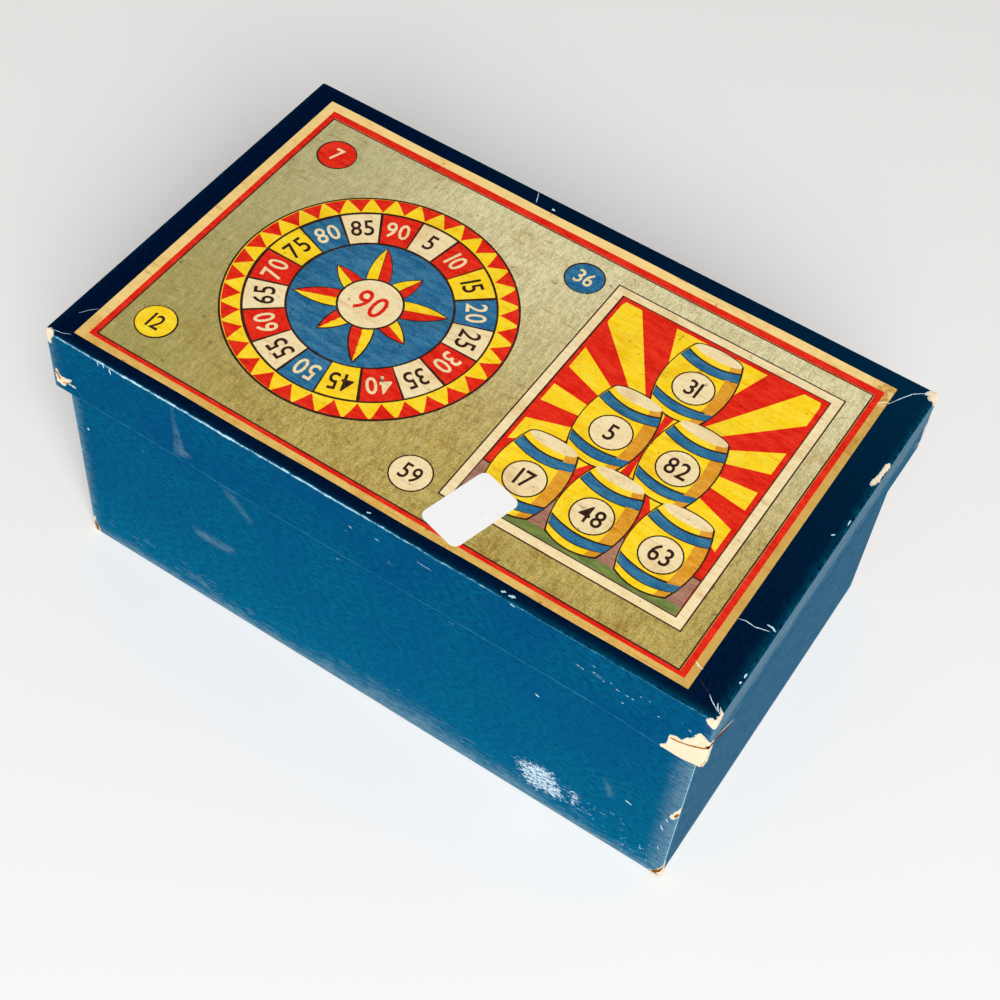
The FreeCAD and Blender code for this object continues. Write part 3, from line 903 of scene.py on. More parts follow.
def folded_strip(layers, low, high, first, pitch):
    """A line folded back and forth: upright runs a pitch apart, joined over and under by half circles.
    Returns its places across and up, with the layer number that each point belongs to."""
    bend = pitch / 2
    run = np.linspace(low + bend, high - bend, BAG_RUN_POINTS)
    turn = np.linspace(0, math.pi, BAG_BEND_POINTS)[1:-1]
    parts = []
    for layer in range(layers):
        start = first + layer * pitch
        rising = layer % 2 == 0
        parts.append((0 * run + start, run if rising else run[::-1], 0 * run + layer))
        over = run[-1] + bend * np.sin(turn) if rising else run[0] - bend * np.sin(turn)
        parts.append((start + bend - bend * np.cos(turn), over, 0 * turn + layer + 0.5))
    return np.concatenate(parts[:-1], 1)


def linen_finish():
    """Plain weave: threads each way as sines of the cloth's own coordinates, with thick and thin yarns."""
    linen = Finish("linen", 0.9, 0.2)
    linen.feed(linen.shader, {"Sheen Weight": 0.25})
    cloth = linen.add("UVMap", {}, "UV", uv_map="cloth")
    sides = [linen.add("SeparateXYZ", {0: cloth}, axis) for axis in "XY"]
    warp, weft = [(side * (2 * math.pi / BAG_THREAD)).reckon("SINE") for side in sides]
    weave = warp * weft
    yarn = linen.grain(0.9 * MM, stretch=(0.05, 1, 1), place=cloth)
    slub = linen.grain(0.9 * MM, stretch=(1, 0.05, 1), place=cloth)
    tone = yarn.reckon("MAXIMUM", slub) + weave * 0.12
    return linen.done(tone.step(0.4, 0.75).mix((168, 148, 112), (214, 198, 162)), weave, 0.12 * MM)


low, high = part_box("draw_bag")
first = low.y + BAG_FOLD_ROOM
pitch = (high.y - BAG_FOLD_ROOM - first) / (BAG_LAYERS - 1)
line_y, line_z, part = folded_strip(BAG_LAYERS, low.z + BAG_ROOM, high.z - BAG_FOLD_ROOM, first, pitch)
across = np.linspace(low.x + BAG_ROOM, high.x - BAG_ROOM, BAG_COLUMNS)
bag_length = lengths(line_y, line_z)
x = np.repeat(across[None, :], len(line_y), 0)
part = part[:, None]
up = ((line_z - low.z) / (high.z - low.z))[:, None]
sway = np.sin(x / (19 * MM) + part * 0.7) + 0.6 * np.sin(x / (8 * MM) + part * 1.9)
y = line_y[:, None] + 0.45 * MM * sway * np.sin(up * math.pi) + 0.25 * MM * sway
slump = 0.5 + 0.5 * np.sin(x / (27 * MM) + part * 1.3)
z = line_z[:, None] - 3.2 * MM * slump * up ** 2
bag = grid_piece("linen_bag", x, y, z, False, linen_finish(), "insert")
v, u = np.meshgrid(bag_length, across - across[0], indexing="ij")
corners = np.stack([u, v], -1).reshape(-1, 2)[grid_faces(*x.shape, False)]
bag.data.uv_layers.new(name="cloth").data.foreach_set("uv", corners.ravel())
cloth = bag.modifiers.new("cloth", "SOLIDIFY")
cloth.thickness = BAG_CLOTH
cloth.offset = 0.0
stand_for("draw_bag")
across[-1] - across[0]

# Lid board: the same strawboard, scored and folded down into a top and four shallow skirts,
# with brown gummed stays inside its corners.
cover("lid_board", strawboard)
cover("lid_corner_stays", gummed_paper)

# Lid covering paper: one sheet over the top and skirts, navy on the top and blue down the sides,
# turned up inside the skirt. The folds are rubbed white and the right front corner is torn to the board.
LID_STEP = 0.6 * MM
LID_STATION_STEP = 0.8 * MM
LID_BORDER = 13 * MM
TOP_ENDS = 0.45
FOLD_LINE = 0.55
LOWER_LINE = 26.0
SAG_INSIDE = 4
UNSCUFFED = -9.0
TOP_FLECK_ROOM = 0.026
NICK_HALF_WIDTH = 0.14
NICK_LEAN = 0.12
lid_low, lid_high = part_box("lid_covering_paper")
lid_half = (lid_high.x, lid_high.y)
inset, height, depth = paper_section(lid_high.z, lid_low.z, lid_half[1], LID_BORDER, LID_STEP)
x, y, z, direction, path, skirt_down, from_corners = wrapped(lid_half, LID_STATION_STEP, inset, height, depth)
front_right, back_right, back_left, front_left = from_corners
on_top = skirt_down < TOP_ENDS
on_front = direction[:, 1] < -0.9
on_end = np.broadcast_to(np.abs(direction[:, 0]), x.shape)
top_x = x / MM
top_y = y / MM
front_x = top_x[-1]
skirt_edge = (lid_high.z - lid_low.z) / MM
to_edge = np.clip(skirt_down / skirt_edge, 0, 1)
to_post = np.where(on_top, np.inf, np.abs(from_corners).min(0))
slow = soft_waves(path, 6, 30, 21)
quick = soft_waves(path, 20, 60, 33)

# The paper is rubbed along the top fold, the line of the skirt's edge and the posts.
front_wear = 0.2 + 0.2 * np.clip((50 - front_x) / 50, 0, 1) - 0.2 * np.clip((front_x - 20) / 40, 0, 1)
fold_wear = np.where(on_front, front_wear + 0.14 * slow + 0.1 * quick, -0.16 + 0.3 * slow)
rub = np.max([
    fold_wear - np.abs(skirt_down - FOLD_LINE - 0.35 * quick),
    -0.02 + 0.1 * slow - np.abs(skirt_down - LOWER_LINE),
    0.05 + 0.25 * slow - to_post,
], 0)

# Tears and cracks lie by the way from a post and the way down the skirt, and the chip by its place on top.
main_tear = (
    (-14, 30), (-14.2, 25), (-12.6, 22.8), (-12.4, 18.6), (-10, 17.4), (-8.6, 17.8), (-7.2, 15.2),
    (-5.8, 14.2), (-5.2, 11.4), (-4, 9.7), (-2.6, 10), (-1, 11.6), (1.4, 12.6), (2.2, 17), (2, 24), (1.4, 30),
)
top_corner_tear = (
    (-3.6, 1.4), (-2.4, -0.2), (-1.2, 0.3), (0, -1.2), (1.4, -0.3), (2.8, -1.6), (2.6, 0.8), (1, 4.4),
    (-1.5, 4), (-3, 2.8),
)
splinter = (
    (1.2, 17), (2, 19.4), (4.6, 20), (7.6, 18.2), (6, 20.6), (8.4, 21.8), (4.8, 21.6), (3.6, 24),
    (0.8, 23.4), (0.4, 20),
)
left_corner_tear = (
    (-1.6, 2.6), (-1.8, -0.4), (0, -1.4), (2.2, -0.8), (2.8, 0.8), (1.4, 2), (0.8, 5.2), (-0.4, 4.4),
)
back_corner_tear = (
    (-5.6, 0.8), (-4.6, -1.6), (-2, -2.6), (0, -3.4), (1.6, -2), (2.4, 0.4), (0.8, 5), (-2, 4.4),
    (-3.6, 2.4),
)
frayed_post = ((-2.5, 14), (-0.6, 12), (0.9, 20), (0.8, 29), (-1.2, 29), (-1.6, 20))
low_corner_tear = ((-3, 30), (-3.2, 24.6), (-1.4, 21), (0.6, 22.8), (2, 25), (3.4, 26), (3, 30))
fold_chip = (
    (118.2, 26.4), (117.5, 28), (118.2, 30.4), (118.5, 32.4), (118.5, 36.2), (119.2, 37.3), (119.9, 36.4),
    (119.5, 32.6), (119.6, 30), (119.3, 27.2),
)
torn = np.max([
    within(front_right, skirt_down, main_tear, top_corner_tear),
    within(front_left, skirt_down, splinter, left_corner_tear),
    within(back_right, skirt_down, back_corner_tear, frayed_post),
    inside_by(back_left, skirt_down, low_corner_tear),
], 0)
torn = np.where(on_top, np.maximum(torn, inside_by(top_x, top_y, fold_chip)), torn)
split_line = ((-11.8, 19.8), (-9.9, 19.6), (-7.7, 18.9), (-5.5, 18.1), (-2.6, 16.6), (-0.6, 15))
gaping = ((-0.6, 15), (2.2, 15.3), (5.3, 16.7), (8.8, 19.2), (13.9, 22.9), (17.4, 25.3))
corner_crack = ((-1.2, 26), (-0.2, 23))
splinter_shade = ((0.5, ((0.6, 18.6), (2, 21.4))), (0.3, ((3, 22.6), (6.4, 21))))
# Lines of cracking: the dark along them, widest on the gaping line where the skirt paper lifts, is painted
# shade in the gaps.
crack = np.max([
    on_lines(front_right, skirt_down, (0.42, split_line), (0.25, corner_crack)),
    1.15 - off_line(front_right, skirt_down, gaping) - np.clip(front_right, 0, 20) * 0.05,
    on_lines(front_left, skirt_down, *splinter_shade),
], 0)

# The top is paler along its folds, a painted sheen, and towards the back right; the skirt is hazy at its
# posts and smudges, and its ends carry a painted sheen, strongest below the fold.
# Painted sheen along the top's folds: strong at the right end, growing along the front towards it.
fold_sheen = np.where(direction[:, 0] > 0.5, 0.85, 0.12 + 0.45 * on_front * np.clip((front_x - 20) / 60, 0, 1))
band = np.where(on_end > 0.5, 1.3 + 0.6 * quick, 1.1)
back_paling = 0.2 * np.exp(-np.hypot(top_x - 120, top_y - 72) / 70)
faded = np.where(on_top, np.maximum(fold_sheen * np.exp(-np.abs(skirt_down) / band), back_paling), 0.26 * on_end)
# Painted sheen: a pale band down the ends of the skirt, strongest just below the fold.
end_sheen_band = 0.75 * np.exp(-((skirt_down / 13) ** 4)) + 0.3
seam_smudge = ((-190.4, 8), (-189, 10), (-187, 20), (-184, 22), (-187, 24), (-190, 24.5))
seam = ((-190.8, 2), (-189.6, 2), (-189.9, 14), (-190.2, 25), (-191.4, 25), (-190.8, 14))
smudged = 0.5 * np.clip(within(front_right, skirt_down, seam_smudge, seam) / 2 + 0.6, 0, 1)
haze = np.max([0.6 * np.exp(-to_post / 3), on_end * end_sheen_band, smudged], 0) * ~on_top
nicks = patches(
    front_right, skirt_down,
    (1, (-40, 11.5), (9, 3)), (1, (-20, 12), (8, 4)), (0.8, (-118, 9), (8, 3)), (0.6, (-60, 16), (14, 4)),
)

# The skirt hangs in a little, lies lower where it is torn, and sags along its edge.
bulge = 0.08 * MM * (soft_waves(path, 4, 9, 5) - 1) * np.sin(to_edge * math.pi)
bulge = bulge - 0.12 * MM * np.clip(torn / 0.8, 0, 1) - FLECK_ROOM
bulge = bulge * ((inset < RIM_RADIUS)[:, None] & ~on_top)
sag = 0.2 * soft_waves(path, 5, 12, 15)
for middle, half_width, drop in ((-45, 24, 1.2), (-4, 16, 0.7), (103, 9, 1.2), (112, 5, 1.3)):
    sag = sag - on_front * drop * np.exp(-(((front_x - middle) / half_width) ** 2))
x = x + bulge * direction[:, 0]
y = y + bulge * direction[:, 1]
z = z + to_edge ** 3 * sag * MM * (skirt_down < skirt_edge + SAG_INSIDE)
lid_paper = grid_piece("lid_paper", x, y, z, True, blue_paper, "lid", -1)
wrap_uv(lid_paper, path, depth)
store(lid_paper, rub=rub, tear=torn, crack=crack, faded=faded, top=on_top, haze=haze, nick=nicks)
store(lid_paper, scuff=np.full(x.shape, UNSCUFFED))
stand_for("lid_covering_paper")

lid_top = (2, lid_high.z / MM + TOP_FLECK_ROOM)
lid_front = (1, lid_low.y / MM)
lid_back = (1, lid_high.y / MM)
lid_left = (0, lid_low.x / MM)
lid_end = (0, lid_high.x / MM)
lid_flecks = on_face(*lid_top, (
    (0.17, ((108.4, -39.6), (110.6, -39), (113.7, -39.3), (116.2, -38.6), (118, -38.2))),
    (0.32, ((116.1, -36.6), (117.8, -36.6), (119.4, -37.4))),
    (0.15, ((108.4, 58.6), (110.6, 62.8), (113, 67), (117.5, 70.8))),
    (0.1, ((-118.4, -71.3), (-114.2, -70.7), (-111.6, -69.4))),
    (0.07, ((-115.6, -61.3), (-113.8, -58.4), (-111.8, -56.3))),
    (0.4, ((116.8, 2.5), (117.7, 3.4))),
    (0.35, ((119.3, -56), (119.2, -54.2))),
    (0.3, ((119.1, -58.4), (119.2, -57.4))),
    (0.25, ((119.3, 8.6), (119.1, 10.9))),
    (0.14, ((118.4, -69.8), (117.4, -69), (115.5, -67.7), (113.9, -66.2))),
    (0.18, ((118.7, -69.8), (117.8, -68.6), (117.1, -67.2))),
    (0.35, ((1.6, -71.2), (2.9, -70.8))),
    (0.4, ((48.4, -71.3), (50, -70.9))),
    (0.45, ((51, -71.4), (53.2, -70.7))),
    (0.14, ((-29.5, 71.6), (-28.6, 69.4), (-27.6, 67))),
    (0.5, ((-21.7, 67.7), (-20.4, 67.5))),
))
lid_flecks += on_face(*lid_front, (
    (0.25, ((52.4, 105.8), (54.2, 105.4))),
    (0.22, ((-98.9, 106.2), (-98.7, 104.2))),
    (0.22, ((-96.6, 106.2), (-96.3, 104.5))),
    (0.28, ((-94.3, 106), (-93.8, 103.4))),
    (0.1, ((20.4, 99.7), (25.8, 99.4))),
))
lid_flecks += on_face(*lid_end, (
    (0.3, ((-66.5, 92), (-63, 89.6), (-58, 86), (-54.2, 83))),
    (0.3, ((64.5, 87.4), (67.1, 87), (70.6, 84.5))),
    (0.3, ((70.4, 97.3), (71.4, 92), (71.8, 86))),
    (0.25, ((66.4, 81.4), (69, 83), (71.6, 83.4))),
))
nicked = (
    (76.6, 95.3, 0.8), (78, 95, 0.6), (81.3, 99.3, 0.5), (85.1, 94.8, 0.35), (87.4, 96, 0.4),
    (89.8, 94.5, 0.7), (92.9, 94.5, 0.6), (94.8, 94.5, 0.5), (92.1, 89.8, 0.4), (97, 97.9, 0.3),
    (99.9, 98.1, 0.3), (103.5, 93.4, 0.35), (113.3, 95.5, 0.5), (-3.3, 97.4, 0.7), (6.4, 98.8, 0.8),
)
for across, up, reach in nicked:
    line = ((across - reach, up + NICK_LEAN), (across + reach, up - NICK_LEAN))
    lid_flecks.append((NICK_HALF_WIDTH, *lid_front, line))
draw = np.random.default_rng(43)
lid_flecks += strewn(draw, 30, lid_back, (-116, 82), (116, 105.5), (0.2, 1.3), (-0.18, -0.07), 0.1)
lid_flecks += strewn(draw, 18, lid_left, (-68, 82), (68, 105.5), (0.2, 1.3), (-0.18, -0.07), 0.1)
frayed_lines("lid_flecks", lid_flecks, white_fibre, "lid", 17)
lid_streaks = strewn(draw, 80, lid_end, (-62, 105), (62, 88), (1.5, 6), (0.1, 0.5), -0.04, 1.5)
frayed_lines("lid_streaks", lid_streaks, rubbed_blue, "lid", 71)
# Painted shade: dark lines in the splits of the end skirt and top, and under the lifted skirt paper, where
# the gaps hold shadow.
split_shade = fibre_finish("split_shade", (92, 58, 28), (26, 17, 12), (12, 9, 8))
lid_split_shade = (
    (0.8, *lid_end, ((-71.8, 92.4), (-70.3, 91.8), (-67.2, 90.2), (-63.7, 87.6), (-58.6, 84), (-55, 81.6))),
    (0.1, *lid_top, ((113.9, -66.2), (110.8, -64.4), (108.5, -63.2))),
    (0.5, *lid_end, ((71.4, 97), (71.9, 90), (72, 83))),
    (0.3, *lid_end, ((65.4, 86.2), (68, 85), (71, 82.4))),
)
frayed_lines("lid_split_shade", lid_split_shade, split_shade, "lid", 29)

# Lid label: a printed sheet pasted on the lid, a little off the middle as it was laid by hand.
# The paper has cockled along the box, yellowed at its margin and taken damp stains.
LABEL_ROWS = 92
LABEL_COLUMNS = 150
LABEL_FACE = 0.08 * MM
LABEL_RIM = 0.06 * MM
LABEL_TRIM = 0.12 * MM
COCKLE = 0.05 * MM
COCKLE_BUMP = 0.35 * MM
CREASE_ROOM = 0.17
label_middle, label_half, label_foot, _ = lying("lid_label")


def label_face(x, y):
    """Height of the label's face: long low waves that run along the box and follow one another across
    it, each a sine of y leaning a little with x."""
    waves = np.zeros_like(x)
    for length, lean, start in ((62, 0.05, 0.3), (43, -0.12, 1.9), (31, 0.09, 4.1)):
        waves = waves + np.sin((y + lean * x) / (length * MM) * 2 * math.pi + start)
    return label_foot + LABEL_FACE + COCKLE * waves / 3


def margin_finish():
    """Bare label paper, yellowed, with tide lines where damp has crept in, fresher or more soiled by the
    tone that the mesh stores."""
    paper = Finish("label_paper", 0.65, 0.12)
    colour = paper.grain(9 * MM, 5.0, 0.65).step(0.35, 0.68).mix((228, 186, 100), (206, 156, 66))
    colour = paper.grain(0.5 * MM, 3.0, 0.7).step(0.45, 0.75).mix(colour, (238, 206, 132))
    wet = paper.grain(4 * MM, 4.0, 0.6) + paper.stored("damp") * 0.34
    tone = paper.stored("tone")
    stains = (
        (wet.step(0.7, 0.78) * 0.8, (160, 104, 34)),
        (wet.step(0.76, 0.84) * 0.85, (236, 198, 126)),
        (tone.step(0.0, 1.0) * 0.75, (252, 220, 148)),
        (tone.step(0.0, -1.0) * 0.7, (198, 158, 78)),
    )
    for share, stain in stains:
        colour = share.mix(colour, stain)
    return paper.done(aged(paper, colour), cockled(paper), COCKLE_BUMP)


def with_edges(half, count):
    """Even places from -half to half, with two more at each end: one just inside it, which keeps the
    edge crisp, and one on it, for the foot of the cut."""
    inner = np.linspace(-half, half, count)[1:-1]
    rim = half - LABEL_RIM
    return np.concatenate([[-half, -half, -rim], inner, [rim, half, half]])


rows = with_edges(label_half[1], LABEL_ROWS)
y, x = np.meshgrid(rows, with_edges(label_half[0], LABEL_COLUMNS), indexing="ij")
trimmed = LABEL_TRIM * np.sin(x / (9 * MM)) * np.clip(np.abs(y) / label_half[1] * 12 - 11, 0, 1)
y = y + trimmed * np.sign(y)
across = x / label_half[0]
up = y / label_half[1]
x = x + label_middle[0]
y = y + label_middle[1]
z = label_face(x, y)
z[[0, -1], :] = label_foot
z[:, [0, -1]] = label_foot
label = grid_piece("label_sheet", x, y, z, False, margin_finish(), "lid")
damp_corner = np.clip((x / MM - 40) / 68, 0, 1) * np.clip((y / MM - 15) / 46, 0, 1)
damp_left = 0.2 * np.clip((-x / MM - 90) / 15, 0, 1)
fresh = np.maximum(np.clip((up - 0.8) / 0.1, 0, 1), 0.7 * np.clip((-0.9 - across) / 0.06, 0, 1))
soiled = np.maximum(np.clip((across - 0.92) / 0.05, 0, 1), 0.4 * np.clip((-0.8 - up) / 0.1, 0, 1))
store(label, damp=np.maximum(damp_corner, damp_left), tone=fresh - soiled)
stand_for("lid_label")
label_creases = on_face(2, label_foot / MM + CREASE_ROOM, (
    (0.28, ((108.7, 59.0), (106.8, 58.3), (105.4, 56.6))),
    (0.32, ((105.5, -59.2), (106.8, -60.0), (108.4, -60.3))),
))
paper_inside = fibre_finish("paper_inside", (252, 240, 212), (236, 214, 168), (206, 172, 112))
frayed_lines("label_creases", label_creases, paper_inside, "lid", 37)

# Label printing: flat inks laid one over another on the sheet, with a red rule inside the margin, a wheel
# of numbers on the left, a stack of numbered kegs on a red panel on the right, and four numbered discs.
MARGIN = 3.1
RULE = 2.15
RULE_DROP = 0.7
HAIRLINE = 0.5
PRINT_SHIFT = np.array([0.4, -0.7]) * MM
INK_STEP = 0.011 * MM
WHEEL = (-44.0, -2.0)
WHEEL_RADIUS = 48.0
WHEEL_LINE = 0.8
TOOTH_TIP = 41.0
TOOTH_ROOM = 0.2
TOOTH_HALF_ANGLE = 4.6
SECTORS = 18
SECTOR_RING = (27.2, 40.2)
SECTOR_LINE = 0.6
SECTOR_NUMBERS = 33.8
SECTOR_DIGITS = 7.0
HUB_RADIUS = 26.4
STAR_POINTS = 8
STAR_BASE = 9
STAR_TIPS = (24.8, 19.5)
STAR_HALF_ANGLE = 21.5
STAR_LINE = 0.8
STAR_LINE_ANGLE = 2.0
BOSS_RADIUS = 10.3
BOSS_LINE = 0.7
BOSS_DIGITS = 9.5
PANEL = (57.0, 1.0)
PANEL_HALF = np.array([41.0, 52.0])
PANEL_BORDER = 3
RAYS = 14
RAY_ROOM = 5
TABLE_BACK = 34.0
TABLE_EDGE = 1.6
KEG_SPACING = (23.5, 30.5)
PRINTED_KEG = (22.5, 28.5)
PRINTED_BELLY = 0.13
PRINTED_SAG = 0.1
KEG_DISC = 0.29
KEG_DIGITS = 0.3
KEG_SHADE = (0.62, 1.0)
KEG_HOOPS = ((-0.8, -0.58), (0.58, 0.8))
HOOP_LINE = 0.035
DISC_RADIUS = 6.5
DISC_DIGITS = 0.95


def ground_finish():
    """The mottled ground: olive crayon grain over cream and buff, paler to the back and duller to the left,
    with short fibres that catch the ink."""
    ground = Finish("ground_ink", 0.6, 0.12)
    back = ground.add("SeparateXYZ", {0: ground.place}, "Y").step(-50 * MM, 60 * MM)
    left = ground.add("SeparateXYZ", {0: ground.place}, "X").step(-20 * MM, -105 * MM)
    olive = back.mix((140, 124, 58), (184, 174, 126))
    pale = back.mix((206, 182, 104), (240, 230, 186))
    fibre = ground.grain(1.0 * MM, 5.0, 0.75, (1, 0.25, 1), 18)
    tone = ground.grain(0.5 * MM, 5.0, 0.8) + fibre * 0.6
    colour = tone.step(0.64, 0.96).mix(olive, pale)
    colour = (left * 0.55).mix(colour, (150, 146, 92))
    cool = ground.grain(1.6 * MM, 4.0, 0.7).step(0.52, 0.72)
    colour = (cool * 0.4).mix(colour, (146, 150, 108))
    buff = ground.grain(3.1 * MM, 5.0, 0.7).step(0.52, 0.75)
    colour = (buff * 0.45).mix(colour, (224, 194, 140))
    return ground.done(aged(ground, colour), cockled(ground), COCKLE_BUMP)


def tooth(middle, base, tip, angle, half_angle, share=(-1.0, 1.0)):
    """A tooth on a circle: from its base radius to its tip the half angle shrinks to nothing. The share
    keeps one side of it or both."""
    v, u = grid_of(6, 7, across=share)
    points, faces = patch(around(middle, base + (tip - base) * v, angle + half_angle * u * (1 - v)))
    return points, faces if tip > base else faces[:, ::-1]


def barrel(middle, width, height, belly, sag, across=(-1.0, 1.0), up=(-1.0, 1.0)):
    """A keg drawn flat: half its width is w/2 less the belly times v squared, and its level lines sag by
    1 - u squared. The ranges keep a band of it."""
    v, u = grid_of(9, 13, up, across)
    x = middle[0] + u * (width / 2 - belly * v ** 2)
    y = middle[1] + v * height / 2 - sag * (1 - u ** 2)
    return patch(np.stack([x, y], -1))


def barrel_end(middle, width, height, belly, sag, edge):
    """The keg's upper end: an ellipse as wide as the keg's top and as deep as its level lines sag."""
    points, faces = ring_part((0, 0), 0, 1, step=0.2)
    reach = (width / 2 - belly + edge, sag + edge)
    return points * reach + (middle[0], middle[1] + height / 2), faces


def ray(middle, half, angle, half_angle):
    """A ray from the middle of a rectangle to its sides: r runs from 0 to the nearer of half_x / |cos a|
    and half_y / |sin a|."""
    v, u = grid_of(14, 9, (1, 0), (-1, 1))
    a = angle + half_angle * u
    reach_x = half[0] / np.maximum(np.abs(np.cos(np.radians(a))), 1e-6)
    reach_y = half[1] / np.maximum(np.abs(np.sin(np.radians(a))), 1e-6)
    return patch(around(middle, v * np.minimum(reach_x, reach_y), a))


def disc(middle, radius):
    """A filled circle."""
    return ring_part(middle, 0, radius)


def lay(ink, layer, shape):
    """Puts a flat shape, in millimetres from the label's middle, into an ink's printing."""
    printed[ink].append((layer, *shape))


def lay_disc(ink, number, middle, number_ink="black"):
    """A disc with a dark outline and a number."""
    lay("black", 3, disc(middle, DISC_RADIUS + HAIRLINE))
    lay(ink, 4, disc(middle, DISC_RADIUS))
    lay(number_ink, 6, numeral(number, middle, DISC_RADIUS * DISC_DIGITS))


def lay_keg(number, middle, width, height):
    """A turned keg: yellow wood, shaded on its right, two blue hoops, and a cream disc with its number."""
    bend = (PRINTED_BELLY * width, PRINTED_SAG * width)
    shape = (middle, width, height, *bend)
    lay("black", 7, barrel(middle, width + 2 * HAIRLINE, height + 2 * HAIRLINE, *bend))
    lay("black", 7, barrel_end(*shape, HAIRLINE))
    lay("yellow", 8, barrel(*shape))
    lay("ochre", 9, barrel(*shape, across=KEG_SHADE))
    for low, high in KEG_HOOPS:
        lay("black", 9, barrel(*shape, up=(low - HOOP_LINE, high + HOOP_LINE)))
        lay("blue", 10, barrel(*shape, up=(low, high)))
    lay("cream", 10, barrel_end(*shape, 0.0))
    face = (middle[0], middle[1] - bend[1])
    radius = KEG_DISC * width
    lay("black", 10, disc(face, radius + HAIRLINE))
    lay("cream", 11, disc(face, radius))
    lay("black", 13, numeral(number, face, KEG_DIGITS * width))


ink_tones = {
    "red": ((216, 22, 10), (236, 56, 30)),
    "yellow": ((252, 206, 8), (250, 222, 60)),
    "ochre": ((214, 140, 26), (232, 170, 60)),
    "blue": ((24, 92, 138), (66, 128, 160)),
    "cream": ((238, 214, 160), (246, 228, 184)),
    "mauve": ((150, 104, 88), (182, 136, 112)),
    "green": ((92, 116, 58), (132, 146, 74)),
    "black": ((40, 20, 16), (70, 42, 32), 0.72),
}
inks = {"ground": ground_finish()}
for ink, tones in ink_tones.items():
    inks[ink] = printed_finish(ink + "_ink", COCKLE_BUMP, *tones)
printed = {ink: [] for ink in inks}
slipped = {"red": (0.12, 0.08), "yellow": (-0.14, 0.06), "blue": (0.1, -0.14), "mauve": (-0.1, -0.1)}

rule_half = label_half / MM - MARGIN
ground_half = rule_half - RULE
ground_middle = (0, -RULE_DROP)
for strip in frame_strips((0, 0), *rule_half, RULE, drop=RULE_DROP):
    lay("red", 1, strip)
for strip in frame_strips(ground_middle, *ground_half, HAIRLINE):
    lay("black", 2, strip)
lay("ground", 1, block(ground_middle, *ground_half))

lay("black", 2, disc(WHEEL, WHEEL_RADIUS))
lay("yellow", 3, ring_part(WHEEL, TOOTH_TIP, WHEEL_RADIUS - WHEEL_LINE))
for index in range(2 * SECTORS):
    spread = (180 / SECTORS * index, TOOTH_HALF_ANGLE)
    lay("red", 4, tooth(WHEEL, WHEEL_RADIUS - WHEEL_LINE, TOOTH_TIP + TOOTH_ROOM, *spread))
pitch = 360 / SECTORS
half_sector = pitch / 2 - SECTOR_LINE
for index in range(SECTORS):
    angle = 90 - pitch * index
    fill = ("cream", "red", "yellow", "blue", "cream", "red")[index % 6]
    lay(fill, 3, ring_part(WHEEL, *SECTOR_RING, angle - half_sector, angle + half_sector))
    number_ink = "cream" if fill in ("red", "blue") else "black"
    spot = around(WHEEL, SECTOR_NUMBERS, angle)
    lay(number_ink, 5, numeral(str(5 * (index + 1)), spot, SECTOR_DIGITS, angle - 90))
lay("blue", 3, disc(WHEEL, HUB_RADIUS))
for index in range(STAR_POINTS):
    tip = STAR_TIPS[index % 2]
    angle = 360 / STAR_POINTS * (index + 0.5)
    lay("black", 4, tooth(WHEEL, STAR_BASE, tip + STAR_LINE, angle, STAR_HALF_ANGLE + STAR_LINE_ANGLE))
    lay("yellow", 5, tooth(WHEEL, STAR_BASE, tip, angle, STAR_HALF_ANGLE, (0.0, 1.0)))
    lay("red", 5, tooth(WHEEL, STAR_BASE, tip, angle, STAR_HALF_ANGLE, (-1.0, 0.0)))
lay("black", 6, disc(WHEEL, BOSS_RADIUS + BOSS_LINE))
lay("cream", 7, disc(WHEEL, BOSS_RADIUS))
lay("red", 9, numeral("90", WHEEL, BOSS_DIGITS))

field_half = PANEL_HALF - PANEL_BORDER - HAIRLINE
panel_halves = (PANEL_HALF + HAIRLINE, PANEL_HALF, PANEL_HALF - PANEL_BORDER, field_half)
for layer, (ink, half) in enumerate(zip(("black", "cream", "black", "red"), panel_halves)):
    lay(ink, 2 + layer, block(PANEL, *half))
for index in range(RAYS):
    lay("yellow", 6, ray(PANEL, PANEL_HALF - RAY_ROOM, 360 / RAYS * index, 90 / RAYS))
table_front = PANEL[1] - field_half[1]
table_deep = (field_half[1] - TABLE_BACK) / 2
table_middle = (PANEL[0], table_front + table_deep)
lay("black", 6.3, block(table_middle, field_half[0], table_deep + HAIRLINE))
lay("mauve", 6.6, block(table_middle, field_half[0], table_deep))
lay("green", 6.8, block((PANEL[0], table_front + TABLE_EDGE), field_half[0], TABLE_EDGE))
keg_rows = (("17", "48", "63"), ("5", "82"), ("31",))
for row, numbers in enumerate(keg_rows):
    for column, number in enumerate(numbers):
        spot_x = PANEL[0] + KEG_SPACING[0] * (column - (len(numbers) - 1) / 2)
        lay_keg(number, (spot_x, PANEL[1] + KEG_SPACING[1] * (row - 1)), *PRINTED_KEG)
lay_disc("red", "7", (-93, 47), "cream")
lay_disc("yellow", "12", (-93, -48))
lay_disc("blue", "36", (5, 49), "cream")
lay_disc("cream", "59", (5, -50))

for ink, shapes in printed.items():
    laid = []
    for layer, flat, faces in shapes:
        place = (flat + slipped.get(ink, (0, 0))) * MM + label_middle + PRINT_SHIFT
        laid.append((place, label_face(*place.T) + layer * INK_STEP, faces))
    lay_ink("label_ink_" + ink, laid, inks[ink], "lid")

# Stock sticker: a small white self-stick label with rounded corners, stuck on askew and left bare.
# Its edges have lifted a hair from the cockled paper under it.
STICKER_HALF = (13 * MM, 8 * MM)
STICKER_CORNER = 2.6 * MM
STICKER_STEP = 0.8 * MM
STICKER_RINGS = 14
STICKER_RIM = 0.05 * MM
STICKER_PAPER = 0.06 * MM
STICKER_LIFT = 0.02 * MM
STICKER_TURN = 74.5
STICKER_LAYER = 14.5


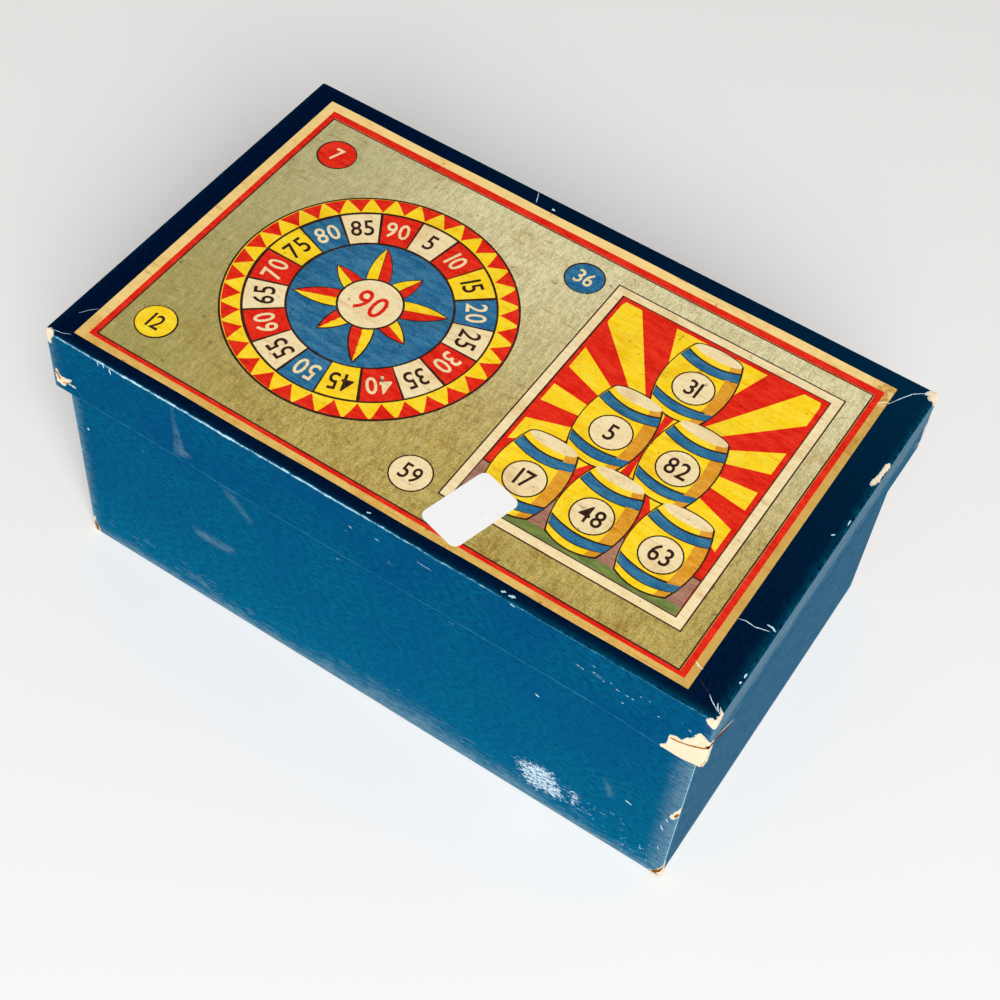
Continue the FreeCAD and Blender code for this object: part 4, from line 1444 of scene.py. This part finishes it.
def sticker_finish():
    """Smooth white paper with a faint grain and a little grime."""
    white = Finish("white_sticker", 0.45, 0.3)
    fine = white.grain(0.6 * MM)
    colour = fine.step(0.35, 0.7).mix((238, 238, 237), (244, 244, 244))
    grime = white.grain(5 * MM, 4.0).step(0.56, 0.8)
    return white.done((grime * 0.3).mix(colour, (224, 222, 214)), fine, 0.02 * MM)


sticker_middle = lying("stock_sticker")[0]
pull, direction, _ = outline_stations(STICKER_HALF, STICKER_CORNER, STICKER_STEP)
inset = np.concatenate([[0, 0], np.linspace(STICKER_RIM, STICKER_HALF[1], STICKER_RINGS)])
across, up = ring_points(pull, direction, STICKER_HALF, STICKER_CORNER, inset)
x, y = turned(across, up, STICKER_TURN)
x = x + sticker_middle[0]
y = y + sticker_middle[1]
z = label_face(x, y) + STICKER_LAYER * INK_STEP + STICKER_LIFT * (across / STICKER_HALF[0]) ** 2
z[0] -= STICKER_PAPER
sticker = grid_piece("white_sticker", x, y, z, True, sticker_finish(), "lid")
stand_for("stock_sticker")

# Floor, light and camera: a plain pale floor, a large soft light over the right front and a camera
# that stands where the photograph was taken, looking down on the front and the right end.
FLOOR_SIDE = 6.0
SKY_STRENGTH = 0.2
LIGHT_PLACE = (1.36, -1.84, 2.24)
LIGHT_AIM = (0.02, -0.1, 0)
LIGHT_SIDE = 1.9
LIGHT_POWER = 128
LENS = 65.75
CAMERA_PLACE = (0.1812, -0.3303, 0.5368)
CAMERA_AIM = (0.0131, -0.0112, 0.0573)
CAMERA_ROLL = 6.71


def aimed(thing, place, aim, roll=0.0):
    """Puts a light or a camera at a place, facing a point, with a roll in degrees."""
    carrier = bpy.data.objects.new(thing.name, thing)
    bpy.context.scene.collection.objects.link(carrier)
    carrier.location = place
    facing = (Vector(aim) - Vector(place)).to_track_quat("-Z", "Y").to_matrix().to_4x4()
    carrier.rotation_mode = "QUATERNION"
    carrier.rotation_quaternion = (facing @ Matrix.Rotation(math.radians(roll), 4, "Z")).to_quaternion()
    return carrier


floor_mesh = bpy.data.meshes.new("floor")
floor_points = np.array([(-1, -1, 0), (1, -1, 0), (1, 1, 0), (-1, 1, 0)]) * FLOOR_SIDE / 2
floor_mesh.from_pydata(floor_points.tolist(), [], [(0, 1, 2, 3)])
pale_floor = Finish("pale_floor", 0.6, 0.2)
pale_floor.feed(pale_floor.shader, {"Base Color": (0.906, 0.892, 0.874, 1.0)})
floor_mesh.materials.append(pale_floor.material)
floor = bpy.data.objects.new("floor", floor_mesh)
bpy.context.scene.collection.objects.link(floor)

world = bpy.data.worlds.new("studio")
world.use_nodes = True
world.node_tree.nodes["Background"].inputs["Color"].default_value = (1.0, 1.0, 1.0, 1.0)
world.node_tree.nodes["Background"].inputs["Strength"].default_value = SKY_STRENGTH
bpy.context.scene.world = world

lamp = bpy.data.lights.new("key_light", "AREA")
lamp.size = LIGHT_SIDE
lamp.energy = LIGHT_POWER
aimed(lamp, LIGHT_PLACE, LIGHT_AIM)

camera = bpy.data.cameras.new("camera")
camera.lens = LENS
camera.sensor_width = 36
bpy.context.scene.camera = aimed(camera, CAMERA_PLACE, CAMERA_AIM, CAMERA_ROLL)
bpy.context.scene.view_settings.view_transform = "Standard"
